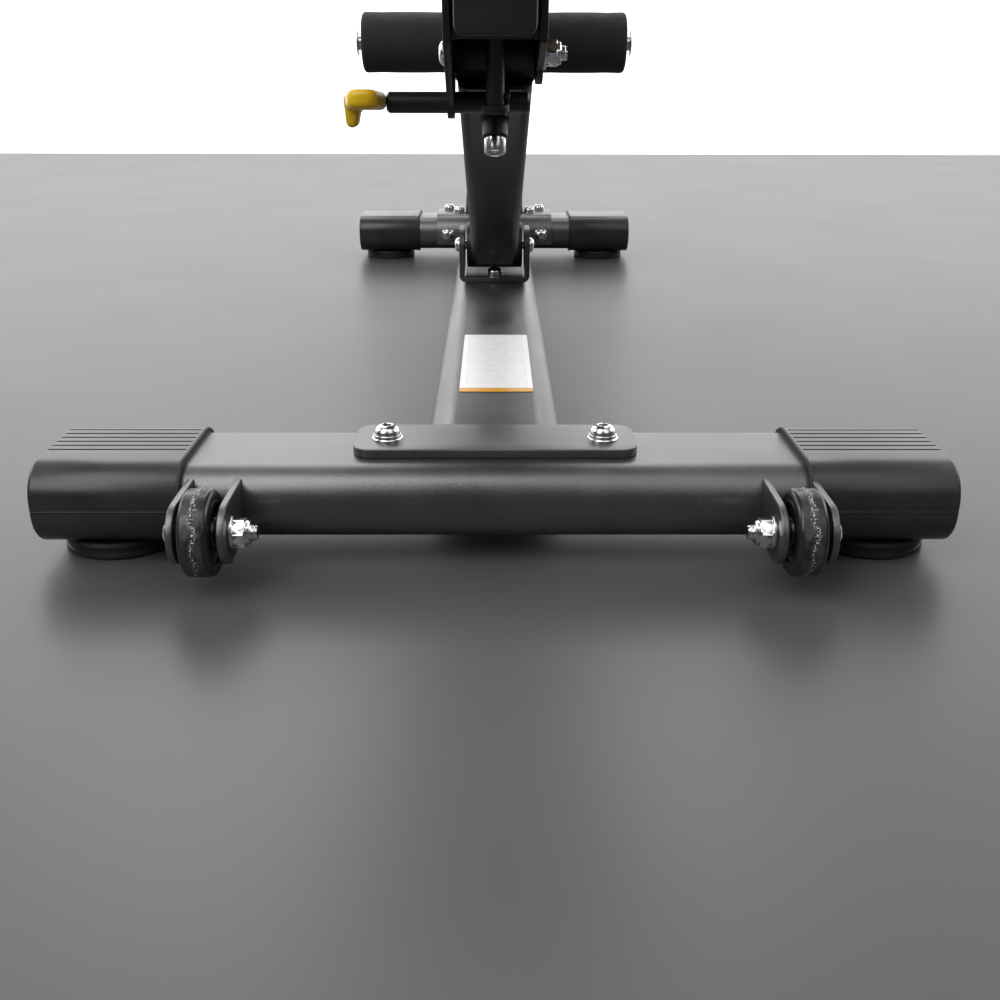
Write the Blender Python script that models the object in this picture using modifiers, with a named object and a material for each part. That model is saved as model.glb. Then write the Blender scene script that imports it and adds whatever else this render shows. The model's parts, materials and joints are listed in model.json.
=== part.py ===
"""Decline sit-up bench: T-shaped base, tilting pad on a strut, telescoping leg hold.

Metres, +Z up.  +Y points to the leg-hold end, -Y to the wheel end, +X to the
right when looking along +Y.  The origin is on the floor at the middle of the
bench's bounding box.  Lengths along Y are counted from the rear crossbar's
centre line, which the bench_origin empty carries.
"""
import math

import bmesh
import bpy
from mathutils import Matrix

# ---- driving dimensions --------------------------------------------------
GAP = 0.0003                      # gap kept between pieces that touch
RUNNING = 0.00006                 # radial clearance of a turning fit
ORIGIN_Y = 0.66215                # rear crossbar centre to the middle of the bench

TUBE_W, TUBE_H, TUBE_R, TUBE_WALL = 0.100, 0.050, 0.0215, 0.003
TUBE_TOP = 0.066
TUBE_Z = TUBE_TOP - TUBE_H / 2
FOOT_D, FOOT_H = 0.080, 0.0127
REAR_HALF, FRONT_HALF = 0.300, 0.221          # crossbars over their end caps
CAP_L = 0.098
CAP_WALL, CAP_END = 0.0027, 0.006
REAR_FOOT_X, FRONT_FOOT_X = 0.258, 0.175
FRONT_Y = 1.174                               # front crossbar's centre line
GROOVES, GROOVE_PITCH, GROOVE_FIRST = 6, 0.0083, -0.012
GROOVE_W, GROOVE_D, GROOVE_MARGIN = 0.0014, 0.003, 0.006
SPINE_START = 0.0292                          # the spine's rear end, coped over the crossbar

PLATE_W, PLATE_BACK, PLATE_FRONT, PLATE_T = 0.190, 0.032, -0.022, 0.006
PLATE_BOLT_X, PLATE_BOLT_Y, PLATE_CORNER = 0.073, 0.0015, 0.012
LABEL_W, LABEL_L, LABEL_T, LABEL_Y = 0.059, 0.190, 0.0004, 0.2275
BOLT_R, HEAD_R, WASHER_R, HOLE_R = 0.005, 0.00875, 0.0105, 0.0053

WHEEL_R, WHEEL_W, WHEEL_Y, WHEEL_Z = 0.0275, 0.0185, -0.084, 0.0402
WHEEL_X = {"left": -0.1808, "right": 0.1901}
EAR_T, EAR_GAP = 0.0045, 0.0262               # wheel bracket ears and the space between them
EAR_ROUND, EAR_HIGH, EAR_LOW = 0.0195, 0.0200, -0.012   # from the axle
WEB_H = 0.018
WHEEL_SHOULDER, AXLE_HUB_R, WEB_DISH_R = 0.0035, 0.009, 0.018       # tread edge, hub and dished disc
NUT_CORNER, NUT_H = 0.0098, 0.008

BRACKET_Y, BRACKET_DEPTH = 0.615, 0.066       # strut bracket on the spine
BRACKET_W, BRACKET_T, BRACKET_TOP, BRACKET_R = 0.082, 0.006, 0.126, 0.020
BRACKET_BOLT_Y = 0.596
STRUT_PIVOT_Z, STRUT_LEN, STRUT_ANGLE = 0.105, 0.550, math.radians(22.4)
STRUT_W, STRUT_H, STRUT_R = 0.052, 0.050, 0.008
STRUT_WALL = 0.003
BOSS_R, BOSS_W = 0.018, 0.054                 # pivot boss at the strut's top
SLEEVE_R, SLEEVE_W = 0.026, 0.065             # sleeve at the strut's foot

SADDLE_W, SADDLE_T, SADDLE_DROP = 0.188, 0.006, 0.040
SADDLE_EAR_IN, SADDLE_EAR_R, SADDLE_EAR_Z = 0.0405, 0.018, 0.012
SADDLE_BOLTS = {"outer": (0.075, 0.016), "inner": (0.058, -0.014)}     # x, y from the crossbar
FACE_BOLT_X, FACE_BOLT_Z = 0.076, 0.042
UPRIGHT_W, UPRIGHT_D, UPRIGHT_TOP = 0.080, 0.050, 0.545
UPRIGHT_R, UPRIGHT_WALL = 0.010, 0.003
HEAD_GAP, HEAD_T, HEAD_EAR_R = 0.0556, 0.006, 0.022   # pad hinge ears on the upright

PAD_PIVOT = (FRONT_Y, 0.600)                  # y, z
RAIL_W, RAIL_R, RAIL_WALL = 0.050, 0.006, 0.003
RAIL_REAR, RAIL_FRONT = 1.205, 0.022          # pivot to the rail's ends
CARRIAGE_DROP = 0.056                         # rail centre line to the carriage pivot
PAD_W, PAD_L, PAD_T, PAD_START = 0.280, 1.140, 0.058, 0.048
BOARD_T, SUPPORT_T = 0.012, 0.005
SLOT_W, SLOT_L, SLOT_PITCH, SLOT_NOTCHES, NOTCH_R = 0.0135, 0.215, 0.038, 5, 0.0085
SLOT_MARGIN = 0.012                           # first notch from the slot's end
SUPPORT_W, SUPPORT_L, SUPPORT_R = 0.230, 0.040, 0.012
SUPPORT_Y = {"front": -0.22, "rear": -0.74}
PAD_R, PAD_EDGE, BOARD_INSET, BOARD_R = 0.036, 0.012, 0.008, 0.030
PLUG_T = 0.004                                # plastic end plugs

PIN_ALONG = 0.496                             # strut pivot to the plunger on its underside
PLUNGER_R, PLUNGER_SEAT = 0.0052, 0.0093      # plunger shank and its welded seat
CHEEK_X, CHEEK_T, CHEEK_LOW = 0.030, 0.005, 0.020     # carriage side plates
CHEEK_FRONT, CHEEK_BACK = 0.042, -0.076               # from the carriage pivot
SHAFT_AT, SHAFT_BOSS = (-0.0210, -0.0275), 0.0105     # release shaft from the carriage pivot
FINGER_TIP, FINGER_T = (-0.0225, 0.0090), 0.003       # finger that draws the lock pin
SHAFT_R, SHAFT_LEFT, SHAFT_RIGHT = 0.007, -0.074, 0.024
LOCK_R, LOCK_BACK = 0.006, 0.045              # lock pin, behind the carriage pivot
LOCK_COLLAR_R, LOCK_COLLAR_T, LOCK_LOW = 0.0095, 0.005, 0.083

LEG_Y, LEG_Z, LEG_LEAN = 1.290, 0.555, math.radians(23.6)
RECEIVER_W, RECEIVER_WALL, POST_W, POST_WALL = 0.060, 0.0045, 0.050, 0.003
RECEIVER_R, POST_R = 0.008, 0.005
RECEIVER_UP, RECEIVER_DOWN = 0.130, 0.090     # receiver's ends from the leg joint's centre
ARM_W, ARM_Z, ARM_L, ARM_R, ARM_WALL = 0.050, 0.505, 0.120, 0.006, 0.003
KNEE_UP, ANKLE_DOWN = 0.105, 0.240            # roller bars from the leg joint's centre
BAR_R, BAR_HALF, BAR_CAP_R = 0.0125, 0.238, 0.022
ROLLER_R, ROLLER_L, ROLLER_X = 0.050, 0.165, 0.148
POST_TOP, POST_BOTTOM = 0.075, -0.272         # leg post's ends at rest
KNOB_ALONG = 0.055                            # pull knob below the leg joint's centre

# ---- values that follow --------------------------------------------------
CARRIAGE = (BRACKET_Y - STRUT_LEN * math.cos(STRUT_ANGLE),
            STRUT_PIVOT_Z + STRUT_LEN * math.sin(STRUT_ANGLE))
REACH = math.dist(PAD_PIVOT, CARRIAGE)
DECLINE = (math.atan2(PAD_PIVOT[1] - CARRIAGE[1], PAD_PIVOT[0] - CARRIAGE[0])
           - math.asin(CARRIAGE_DROP / REACH))
CARRIAGE_S = math.sqrt(REACH ** 2 - CARRIAGE_DROP ** 2)   # pivot to carriage along the rail

# ---- scene and collections -----------------------------------------------
for old in list(bpy.data.objects):
    bpy.data.objects.remove(old, do_unlink=True)

bench = bpy.data.collections.new("decline_sit_up_bench")
cutters = bpy.data.collections.new("cutters")
for collection in (bench, cutters):
    bpy.context.scene.collection.children.link(collection)


def material(name, color, roughness, metallic=0.0):
    """A Principled material with one colour."""
    made = bpy.data.materials.new(name)
    made.use_nodes = True
    shader = made.node_tree.nodes["Principled BSDF"]
    shader.inputs["Base Color"].default_value = (*color, 1.0)
    shader.inputs["Roughness"].default_value = roughness
    shader.inputs["Metallic"].default_value = metallic
    return made


CHARCOAL = material("charcoal_powder_coat", (0.055, 0.055, 0.058), 0.45, 0.3)
BLACK_COAT = material("black_powder_coat", (0.015, 0.015, 0.016), 0.4, 0.2)
CHROME = material("chrome", (0.75, 0.75, 0.76), 0.15, 1.0)
CAP_RUBBER = material("cap_rubber", (0.022, 0.022, 0.023), 0.38)
FOOT_RUBBER = material("foot_rubber", (0.014, 0.014, 0.014), 0.6)
WHEEL_RUBBER = material("wheel_rubber", (0.045, 0.044, 0.042), 0.6)
YELLOW = material("yellow_plastic", (0.62, 0.33, 0.012), 0.4)
LABEL = material("label_film", (0.7, 0.7, 0.68), 0.5)
VINYL = material("black_vinyl", (0.02, 0.02, 0.021), 0.45)
FOAM = material("black_foam", (0.018, 0.018, 0.018), 0.8)
PLYWOOD = material("plywood", (0.42, 0.30, 0.17), 0.6)
PLASTIC = material("black_plastic", (0.02, 0.02, 0.02), 0.35)


# ---- modelling helpers ----------------------------------------------------
def empty(name, parent=None, location=(0, 0, 0), tilt=0.0):
    """An empty that carries a joint's axis; tilt turns it about X."""
    made = bpy.data.objects.new(name, None)
    bench.objects.link(made)
    made.parent = parent
    made.location = location
    made.rotation_euler = (tilt, 0, 0)
    return made


def add(name, mesh, parent, location=(0, 0, 0), coat=None, tilt=0.0):
    """Put a mesh in the bench; without a coat it is a cutter."""
    made = bpy.data.objects.new(name, mesh)
    if coat is None:
        cutters.objects.link(made)
        made.hide_render = True
        made.display_type = "WIRE"
    else:
        bench.objects.link(made)
        mesh.materials.append(coat)
    made.parent = parent
    made.location = location
    made.rotation_euler = (tilt, 0, 0)
    return made


def turn_mesh(mesh, axis):
    """Turn a mesh made along Z so that it runs along the named axis."""
    turns = {"X": Matrix(((0, 0, 1), (1, 0, 0), (0, 1, 0))),
             "Y": Matrix(((1, 0, 0), (0, 0, -1), (0, 1, 0))),
             "Z": Matrix.Identity(3)}
    mesh.transform(turns[axis].to_4x4())
    return mesh


def box_mesh(x, y, z):
    mesh = bpy.data.meshes.new("box")
    shape = bmesh.new()
    bmesh.ops.create_cube(shape, size=1.0, matrix=Matrix.Diagonal((x, y, z, 1.0)))
    shape.to_mesh(mesh)
    shape.free()
    return mesh


def rod_mesh(radius, length, axis="Z", sides=16):
    mesh = bpy.data.meshes.new("rod")
    shape = bmesh.new()
    bmesh.ops.create_cone(shape, cap_ends=True, segments=sides, radius1=radius,
                          radius2=radius, depth=length)
    shape.to_mesh(mesh)
    shape.free()
    mesh.shade_smooth()
    mesh.set_sharp_from_angle(angle=math.radians(35))
    return turn_mesh(mesh, axis)


def arc(cx, cy, radius, start, end, steps):
    """Points on an arc, angles in degrees, both ends included."""
    angles = [math.radians(start + (end - start) * i / steps) for i in range(steps + 1)]
    return [(cx + radius * math.cos(a), cy + radius * math.sin(a)) for a in angles]


def rounded_rect(width, height, radius, steps=4, center=(0, 0)):
    x, y = width / 2 - radius, height / 2 - radius
    points = []
    for sx, sy, start in ((1, 1, 0), (-1, 1, 90), (-1, -1, 180), (1, -1, 270)):
        points += arc(center[0] + sx * x, center[1] + sy * y, radius, start, start + 90, steps)
    return points


def bore(radius, sides):
    """Corner radius of a many-sided hole whose flats clear a shaft of this radius."""
    return (radius + RUNNING) / math.cos(math.pi / sides)


def outline_mesh(loops, thickness, axis="Z"):
    """Extrude flat closed outlines; a second loop inside the first is a hole."""
    curve = bpy.data.curves.new("outline", "CURVE")
    curve.dimensions = "2D"
    curve.fill_mode = "BOTH"
    curve.extrude = thickness / 2
    for points in loops:
        spline = curve.splines.new("POLY")
        spline.points.add(len(points) - 1)
        for point, (x, y) in zip(spline.points, points):
            point.co = (x, y, 0, 1)
        spline.use_cyclic_u = True
    holder = bpy.data.objects.new("outline", curve)
    bench.objects.link(holder)
    view = bpy.context.evaluated_depsgraph_get()
    mesh = bpy.data.meshes.new_from_object(holder.evaluated_get(view))
    bpy.data.objects.remove(holder)
    bpy.data.curves.remove(curve)
    shape = bmesh.new()
    shape.from_mesh(mesh)
    bmesh.ops.remove_doubles(shape, verts=shape.verts, dist=0.00001)
    bmesh.ops.recalc_face_normals(shape, faces=shape.faces)
    shape.to_mesh(mesh)
    shape.free()
    mesh.shade_smooth()
    mesh.set_sharp_from_angle(angle=math.radians(35))
    return turn_mesh(mesh, axis)


def tube_mesh(width, height, radius, wall, length, axis):
    """A rectangular tube with rounded corners, open at both ends."""
    inner = rounded_rect(width - 2 * wall, height - 2 * wall, max(radius - wall, 0.001))
    return outline_mesh([rounded_rect(width, height, radius), inner], length, axis)


def turned(name, profile, parent, location, coat, steps=24, turn=(0, 0, 0), closed=False):
    """Turn a profile of (radius, height) points about Z with a Screw modifier."""
    mesh = bpy.data.meshes.new(name)
    count = len(profile)
    edges = [(i, i + 1) for i in range(count - 1)] + ([(count - 1, 0)] if closed else [])
    mesh.from_pydata([(r, 0, z) for r, z in profile], edges, [])
    made = add(name, mesh, parent, location, coat)
    made.rotation_euler = turn
    screw = made.modifiers.new("turn", "SCREW")
    screw.steps = screw.render_steps = steps
    screw.use_merge_vertices = True
    screw.merge_threshold = 0.00001
    screw.use_smooth_shade = True
    return made


def boolean(target, tool, operation):
    step = target.modifiers.new(operation.lower(), "BOOLEAN")
    step.operation = operation
    step.object = tool
    step.solver = "EXACT"
    return target


def cut(target, mesh, parent, location=(0, 0, 0), tilt=0.0):
    tool = add(target.name + "_cut", mesh, parent, location, tilt=tilt)
    return boolean(target, tool, "DIFFERENCE")


def join(target, mesh, parent, location=(0, 0, 0), tilt=0.0):
    tool = add(target.name + "_join", mesh, parent, location, tilt=tilt)
    return boolean(target, tool, "UNION")


def button_bolt(name, parent, location, grip, turn=(0, 0, 0)):
    """Button-head bolt with a spring washer and a flat washer under its head.

    The washers' underside is at the location, and the shank runs down from it.
    """
    head = [(0.0, 0.0100), (0.0060, 0.0088), (HEAD_R, 0.0050), (HEAD_R, 0.0020),
            (WASHER_R, 0.0020), (WASHER_R, 0.0), (BOLT_R, 0.0), (BOLT_R, -grip), (0.0, -grip)]
    bolt = turned(name, head, parent, location, CHROME, steps=12, turn=turn)
    socket = add(name + "_socket", rod_mesh(0.0034, 0.006, sides=6), parent, location)
    socket.rotation_euler = turn
    socket.data.transform(Matrix.Translation((0, 0, 0.0100)))
    return boolean(bolt, socket, "DIFFERENCE")


def through_bolt(name, parent, location, left, right, side=1):
    """A bolt along X with its washer and lock nut: head on the left face, nut on the right.

    left and right are the clamped faces, counted from the location; side -1
    turns the bolt round, so that the nut comes on the left.
    """
    profile = [(0.0, left - 0.0056), (0.0055, left - 0.0042), (HEAD_R, left), (BOLT_R, left),
               (BOLT_R, right), (WASHER_R, right), (WASHER_R, right + 0.002), (0.0072, right + 0.002),
               (0.0072, right + 0.0118), (BOLT_R, right + 0.0118), (BOLT_R, right + 0.0165),
               (0.0, right + 0.0165)]
    bolt = turned(name, [(r, -z) for r, z in profile], parent, location, CHROME, steps=14,
                  turn=(0, -side * math.pi / 2, 0))
    join(bolt, rod_mesh(NUT_CORNER, NUT_H, "X", 6), parent,
         (location[0] + side * (right + 0.0058), location[1], location[2]))
    return bolt


def headed_pin(name, parent, location, half):
    """A pivot pin along X, screwed together from two halves, with a button head on each face."""
    heads = [(0.0, half + 0.0056), (0.0055, half + 0.0042), (HEAD_R, half), (BOLT_R, half)]
    profile = heads + [(r, -z) for r, z in reversed(heads)]
    return turned(name, profile, parent, location, CHROME, steps=14, turn=(0, math.pi / 2, 0))


def ear_pair(name, parent, location, outline, inner_gap, thickness, coat, web):
    """Two parallel ears joined by a web, which is (mesh, place from the location)."""
    offset = (inner_gap + thickness) / 2
    base_mesh, base_at = web
    made = add(name, base_mesh, parent, [a + b for a, b in zip(location, base_at)], coat)
    for side in (-1, 1):
        join(made, outline_mesh([outline], thickness, "X"), parent,
             (location[0] + side * offset, location[1], location[2]))
    return made


# ---- base -----------------------------------------------------------------
def end_cap(name, parent, side, half, length, y):
    """A moulded sleeve closed at its outer end, with lengthwise grooves on top."""
    width, height = TUBE_W + 2 * (CAP_WALL + GAP), TUBE_H + 2 * (CAP_WALL + GAP)
    body = outline_mesh([rounded_rect(width, height, TUBE_R + CAP_WALL)], length, "X")
    cap = add(name, body, parent, (side * (half - length / 2), y, TUBE_Z), CAP_RUBBER)
    edge = cap.modifiers.new("edge", "BEVEL")
    edge.width, edge.segments, edge.limit_method = 0.002, 1, "ANGLE"
    edge.angle_limit = math.radians(60)
    hollow = outline_mesh([rounded_rect(TUBE_W + 2 * GAP, TUBE_H + 2 * GAP, TUBE_R + GAP)],
                          length, "X")
    cut(cap, hollow, parent, (side * (half - length / 2 - CAP_END), y, TUBE_Z))
    return cap


def groove_cap(cap, parent, side):
    """Cut the grip grooves of a rear cap."""
    shape = bmesh.new()
    for i in range(GROOVES):
        place = Matrix.Translation((0, GROOVE_FIRST + i * GROOVE_PITCH, 0))
        bmesh.ops.create_cube(shape, size=1.0, matrix=place @
                              Matrix.Diagonal((CAP_L - 2 * GROOVE_MARGIN, GROOVE_W, GROOVE_D, 1)))
    mesh = bpy.data.meshes.new("grooves")
    shape.to_mesh(mesh)
    shape.free()
    top = TUBE_TOP + CAP_WALL + GAP + 0.0005
    cut(cap, mesh, parent, (side * (REAR_HALF - CAP_L / 2), 0, top))


def foot(name, parent, x, y):
    profile = [(0.0, FOOT_H), (FOOT_D / 2 - 0.003, FOOT_H), (FOOT_D / 2, FOOT_H - 0.004),
               (FOOT_D / 2 - 0.001, 0.002), (FOOT_D / 2 - 0.003, 0.0), (0.0, 0.0)]
    return turned(name, profile, parent, (x, y, 0), FOOT_RUBBER, steps=24)


def crossbar(name, parent, half, y, holes):
    length = 2 * (half - CAP_END - 2 * GAP)
    bar = add(name, tube_mesh(TUBE_W, TUBE_H, TUBE_R, TUBE_WALL, length, "X"), parent,
              (0, y, TUBE_Z), CHARCOAL)
    for x, hole_y in holes:
        cut(bar, rod_mesh(HOLE_R, 0.012, sides=10), parent, (x, hole_y, TUBE_TOP))
    return bar


def wheel_set(side, parent):
    """Transport wheel, its bracket and its axle bolt."""
    x = WHEEL_X[side]
    inward = 1 if side == "left" else -1
    back = -TUBE_W / 2 - GAP
    top, low = WHEEL_Z + EAR_HIGH, WHEEL_Z + EAR_LOW
    round_y, round_z = TUBE_R - TUBE_W / 2, TUBE_TOP - TUBE_R
    reach = TUBE_R + GAP
    steepest = 180 - math.degrees(math.asin((top - round_z) / reach))
    hug = arc(round_y, round_z, reach, 180, steepest, 5)
    dy, dz = hug[-1][0] - WHEEL_Y, top - WHEEL_Z
    tangent = math.degrees(math.atan2(dz, dy) + math.acos(EAR_ROUND / math.hypot(dy, dz)))
    outline = ([(back, low)] + hug + arc(WHEEL_Y, WHEEL_Z, EAR_ROUND, tangent, 270, 10)
               + [(WHEEL_Y + 0.010, WHEEL_Z - EAR_ROUND + 0.001)])
    outline.reverse()
    width = EAR_GAP + 2 * EAR_T
    web = (box_mesh(width, EAR_T, WEB_H), (0, back - EAR_T / 2, low + WEB_H / 2))
    bracket = ear_pair("wheel_bracket_" + side, parent, (x, 0, 0), outline, EAR_GAP, EAR_T,
                       CHARCOAL, web)
    cut(bracket, rod_mesh(HOLE_R, 0.06, "X", 14), parent, (x, WHEEL_Y, WHEEL_Z))
    cap_edge = REAR_HALF - CAP_L - GAP
    if abs(x) + width / 2 > cap_edge:
        grown = 2 * (CAP_WALL + 2 * GAP)
        cap_shape = rounded_rect(TUBE_W + grown, TUBE_H + grown, TUBE_R + grown / 2)
        cut(bracket, outline_mesh([cap_shape], 0.020, "X"), parent,
            (-inward * (cap_edge + 0.010), 0, TUBE_Z))
    half, outer, hole = WHEEL_W / 2, WHEEL_R, bore(BOLT_R, 20)
    tread_r, tread_x = outer - WHEEL_SHOULDER, half - WHEEL_SHOULDER
    turns = [math.pi * i / 6 for i in range(4)]
    dish = [(hole, half + 0.002), (AXLE_HUB_R, half + 0.002), (AXLE_HUB_R + 0.002, half - 0.001),
            (WEB_DISH_R, half - 0.001), (WEB_DISH_R + 0.001, half)]
    profile = (dish
               + [(tread_r + WHEEL_SHOULDER * math.sin(a), tread_x + WHEEL_SHOULDER * math.cos(a))
                  for a in turns]
               + [(tread_r + WHEEL_SHOULDER * math.sin(a), -tread_x - WHEEL_SHOULDER * math.cos(a))
                  for a in reversed(turns)]
               + [(r, -z) for r, z in reversed(dish)])
    hub = empty("wheel_spin_" + side, parent, (x, WHEEL_Y, WHEEL_Z))
    turned("wheel_" + side, profile, hub, (0, 0, 0), WHEEL_RUBBER, steps=20,
           turn=(0, math.pi / 2, 0), closed=True)
    outside = EAR_GAP / 2 + EAR_T + GAP
    through_bolt("wheel_axle_" + side, parent, (x, WHEEL_Y, WHEEL_Z), -outside, outside, inward)


def build_base(root):
    holes = [(sx * PLATE_BOLT_X, PLATE_BOLT_Y) for sx in (-1, 1)]
    crossbar("rear_crossbar", root, REAR_HALF, 0, holes)
    crossbar("front_crossbar", root, FRONT_HALF, FRONT_Y,
             [(sx * x, FRONT_Y + y) for x, y in SADDLE_BOLTS.values() for sx in (-1, 1)])
    for side, sign in (("left", -1), ("right", 1)):
        cap = end_cap("rear_cap_" + side, root, sign, REAR_HALF, CAP_L, 0)
        groove_cap(cap, root, sign)
        end_cap("front_cap_" + side, root, sign, FRONT_HALF, CAP_L, FRONT_Y)
        foot("rear_foot_" + side, root, sign * REAR_FOOT_X, 0)
        foot("front_foot_" + side, root, sign * FRONT_FOOT_X, FRONT_Y)
        wheel_set(side, root)
    plate_y = (PLATE_BACK + PLATE_FRONT) / 2
    outline = rounded_rect(PLATE_W, PLATE_BACK - PLATE_FRONT, PLATE_CORNER)
    plate = add("joining_plate", outline_mesh([outline], PLATE_T), root,
                (0, plate_y, TUBE_TOP + GAP + PLATE_T / 2), CHARCOAL)
    for side, sign in (("left", -1), ("right", 1)):
        place = (sign * PLATE_BOLT_X, PLATE_BOLT_Y, TUBE_TOP + PLATE_T + 2 * GAP)
        cut(plate, rod_mesh(HOLE_R, 0.02, sides=10), root, place)
        button_bolt("plate_bolt_" + side, root, place, 0.016)
    build_spine(root)


def build_spine(root):
    """The long tube, coped over the rear crossbar, with its label and strut bracket."""
    front_end = FRONT_Y - TUBE_W / 2 - SADDLE_T - 3 * GAP
    tube = tube_mesh(TUBE_W, TUBE_H, TUBE_R, TUBE_WALL, front_end - SPINE_START, "Y")
    spine = add("spine_tube", tube, root, (0, (front_end + SPINE_START) / 2, TUBE_Z), CHARCOAL)
    around = rounded_rect(TUBE_W + 2 * GAP, TUBE_H + 2 * GAP, TUBE_R + GAP)
    cut(spine, outline_mesh([around], 0.14, "X"), root, (0, 0, TUBE_Z))
    label = rounded_rect(LABEL_W, LABEL_L, 0.002, steps=2)
    add("warning_label", outline_mesh([label], LABEL_T), root,
        (0.001, LABEL_Y, TUBE_TOP + LABEL_T / 2 + 0.0002), LABEL)
    depth, inner = BRACKET_DEPTH, BRACKET_W - 2 * BRACKET_T
    bottom = TUBE_TOP + GAP
    front, back = BRACKET_Y - depth / 2, BRACKET_Y + depth / 2
    crown, foot_z, r = BRACKET_TOP - BRACKET_R, bottom + 0.004, BRACKET_R
    ear = ([(back, foot_z), (back, crown)] + arc(back - r, crown, r, 0, 90, 4)[1:]
           + arc(front + r, crown, r, 90, 180, 4) + [(front, foot_z)])
    floor = outline_mesh([rounded_rect(BRACKET_W - 0.002, BRACKET_T, 0.002, steps=2)], depth, "Y")
    bracket = ear_pair("strut_bracket", root, (0, 0, 0), ear, inner, BRACKET_T, CHARCOAL,
                       (floor, (0, BRACKET_Y, bottom + BRACKET_T / 2)))
    pivot = (0, BRACKET_Y, STRUT_PIVOT_Z)
    cut(bracket, rod_mesh(BOLT_R + GAP, 0.12, "X", 14), root, pivot)
    headed_pin("strut_pivot_bolt", root, pivot, BRACKET_W / 2 + GAP)
    place = (0, BRACKET_BOLT_Y, bottom + BRACKET_T + GAP)
    for drilled in (spine, bracket):
        cut(drilled, rod_mesh(HOLE_R, 0.03, sides=10), root, place)
    button_bolt("bracket_bolt", root, place, 0.016)


def build_front(root):
    """Saddle, its bolts, the upright and the pad hinge on top of it."""
    half_d = TUBE_W / 2 + GAP
    outer = rounded_rect(2 * (half_d + SADDLE_T), TUBE_H + 2 * (SADDLE_T + GAP), TUBE_R + SADDLE_T)
    saddle = add("saddle", outline_mesh([outer], SADDLE_W, "X"), root, (0, FRONT_Y, TUBE_Z),
                 CHARCOAL)
    inner = rounded_rect(2 * half_d, TUBE_H + 2 * GAP, TUBE_R + GAP)
    cut(saddle, outline_mesh([inner], SADDLE_W + 0.01, "X"), root, (0, FRONT_Y, TUBE_Z))
    low = TUBE_TOP + SADDLE_T - SADDLE_DROP - 0.006
    cut(saddle, box_mesh(SADDLE_W + 0.02, 0.14, 0.060), root, (0, FRONT_Y, low - 0.030))
    top = TUBE_TOP + SADDLE_T + GAP
    half = UPRIGHT_D / 2
    ear = ([(-half, -0.004), (half, -0.004), (half, SADDLE_EAR_Z)]
           + arc(0, SADDLE_EAR_Z, SADDLE_EAR_R, 20, 160, 6) + [(-half, SADDLE_EAR_Z)])
    for sign in (-1, 1):
        join(saddle, outline_mesh([ear], SADDLE_T, "X"), root,
             (sign * (SADDLE_EAR_IN + SADDLE_T / 2), FRONT_Y, top))
    for side, sign in (("left", -1), ("right", 1)):
        for row, (x, y) in SADDLE_BOLTS.items():
            place = (sign * x, FRONT_Y + y, top + GAP)
            cut(saddle, rod_mesh(HOLE_R, 0.03, sides=10), root, place)
            button_bolt("saddle_" + row + "_bolt_" + side, root, place, 0.016)
        face_y = FRONT_Y - half_d - SADDLE_T - GAP
        face = (sign * FACE_BOLT_X, face_y, FACE_BOLT_Z)
        cut(saddle, rod_mesh(HOLE_R, 0.012, "Y", 10), root, (face[0], face_y + 0.003, face[2]))
        button_bolt("saddle_face_bolt_" + side, root, face, 0.0058, turn=(math.pi / 2, 0, 0))
    height = UPRIGHT_TOP - top - GAP
    tube = tube_mesh(UPRIGHT_W, UPRIGHT_D, UPRIGHT_R, UPRIGHT_WALL, height, "Z")
    add("upright", tube, root, (0, FRONT_Y, top + GAP + height / 2), CHARCOAL)
    base_z = UPRIGHT_TOP + GAP
    pivot_z = PAD_PIVOT[1]
    ear = ([(FRONT_Y + half, base_z + 0.002), (FRONT_Y + HEAD_EAR_R, pivot_z)]
           + arc(FRONT_Y, pivot_z, HEAD_EAR_R, 0, 180, 8)[1:] + [(FRONT_Y - half, base_z + 0.002)])
    head_plate = (box_mesh(UPRIGHT_W, UPRIGHT_D, HEAD_T), (0, FRONT_Y, base_z + HEAD_T / 2))
    head = ear_pair("upright_head", root, (0, 0, 0), ear, HEAD_GAP, HEAD_T, CHARCOAL, head_plate)
    pivot = (0, FRONT_Y, pivot_z)
    cut(head, rod_mesh(BOLT_R + GAP, 0.12, "X", 14), root, pivot)
    outside = HEAD_GAP / 2 + HEAD_T + GAP
    through_bolt("pad_pivot_bolt", root, pivot, -outside, outside)


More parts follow.
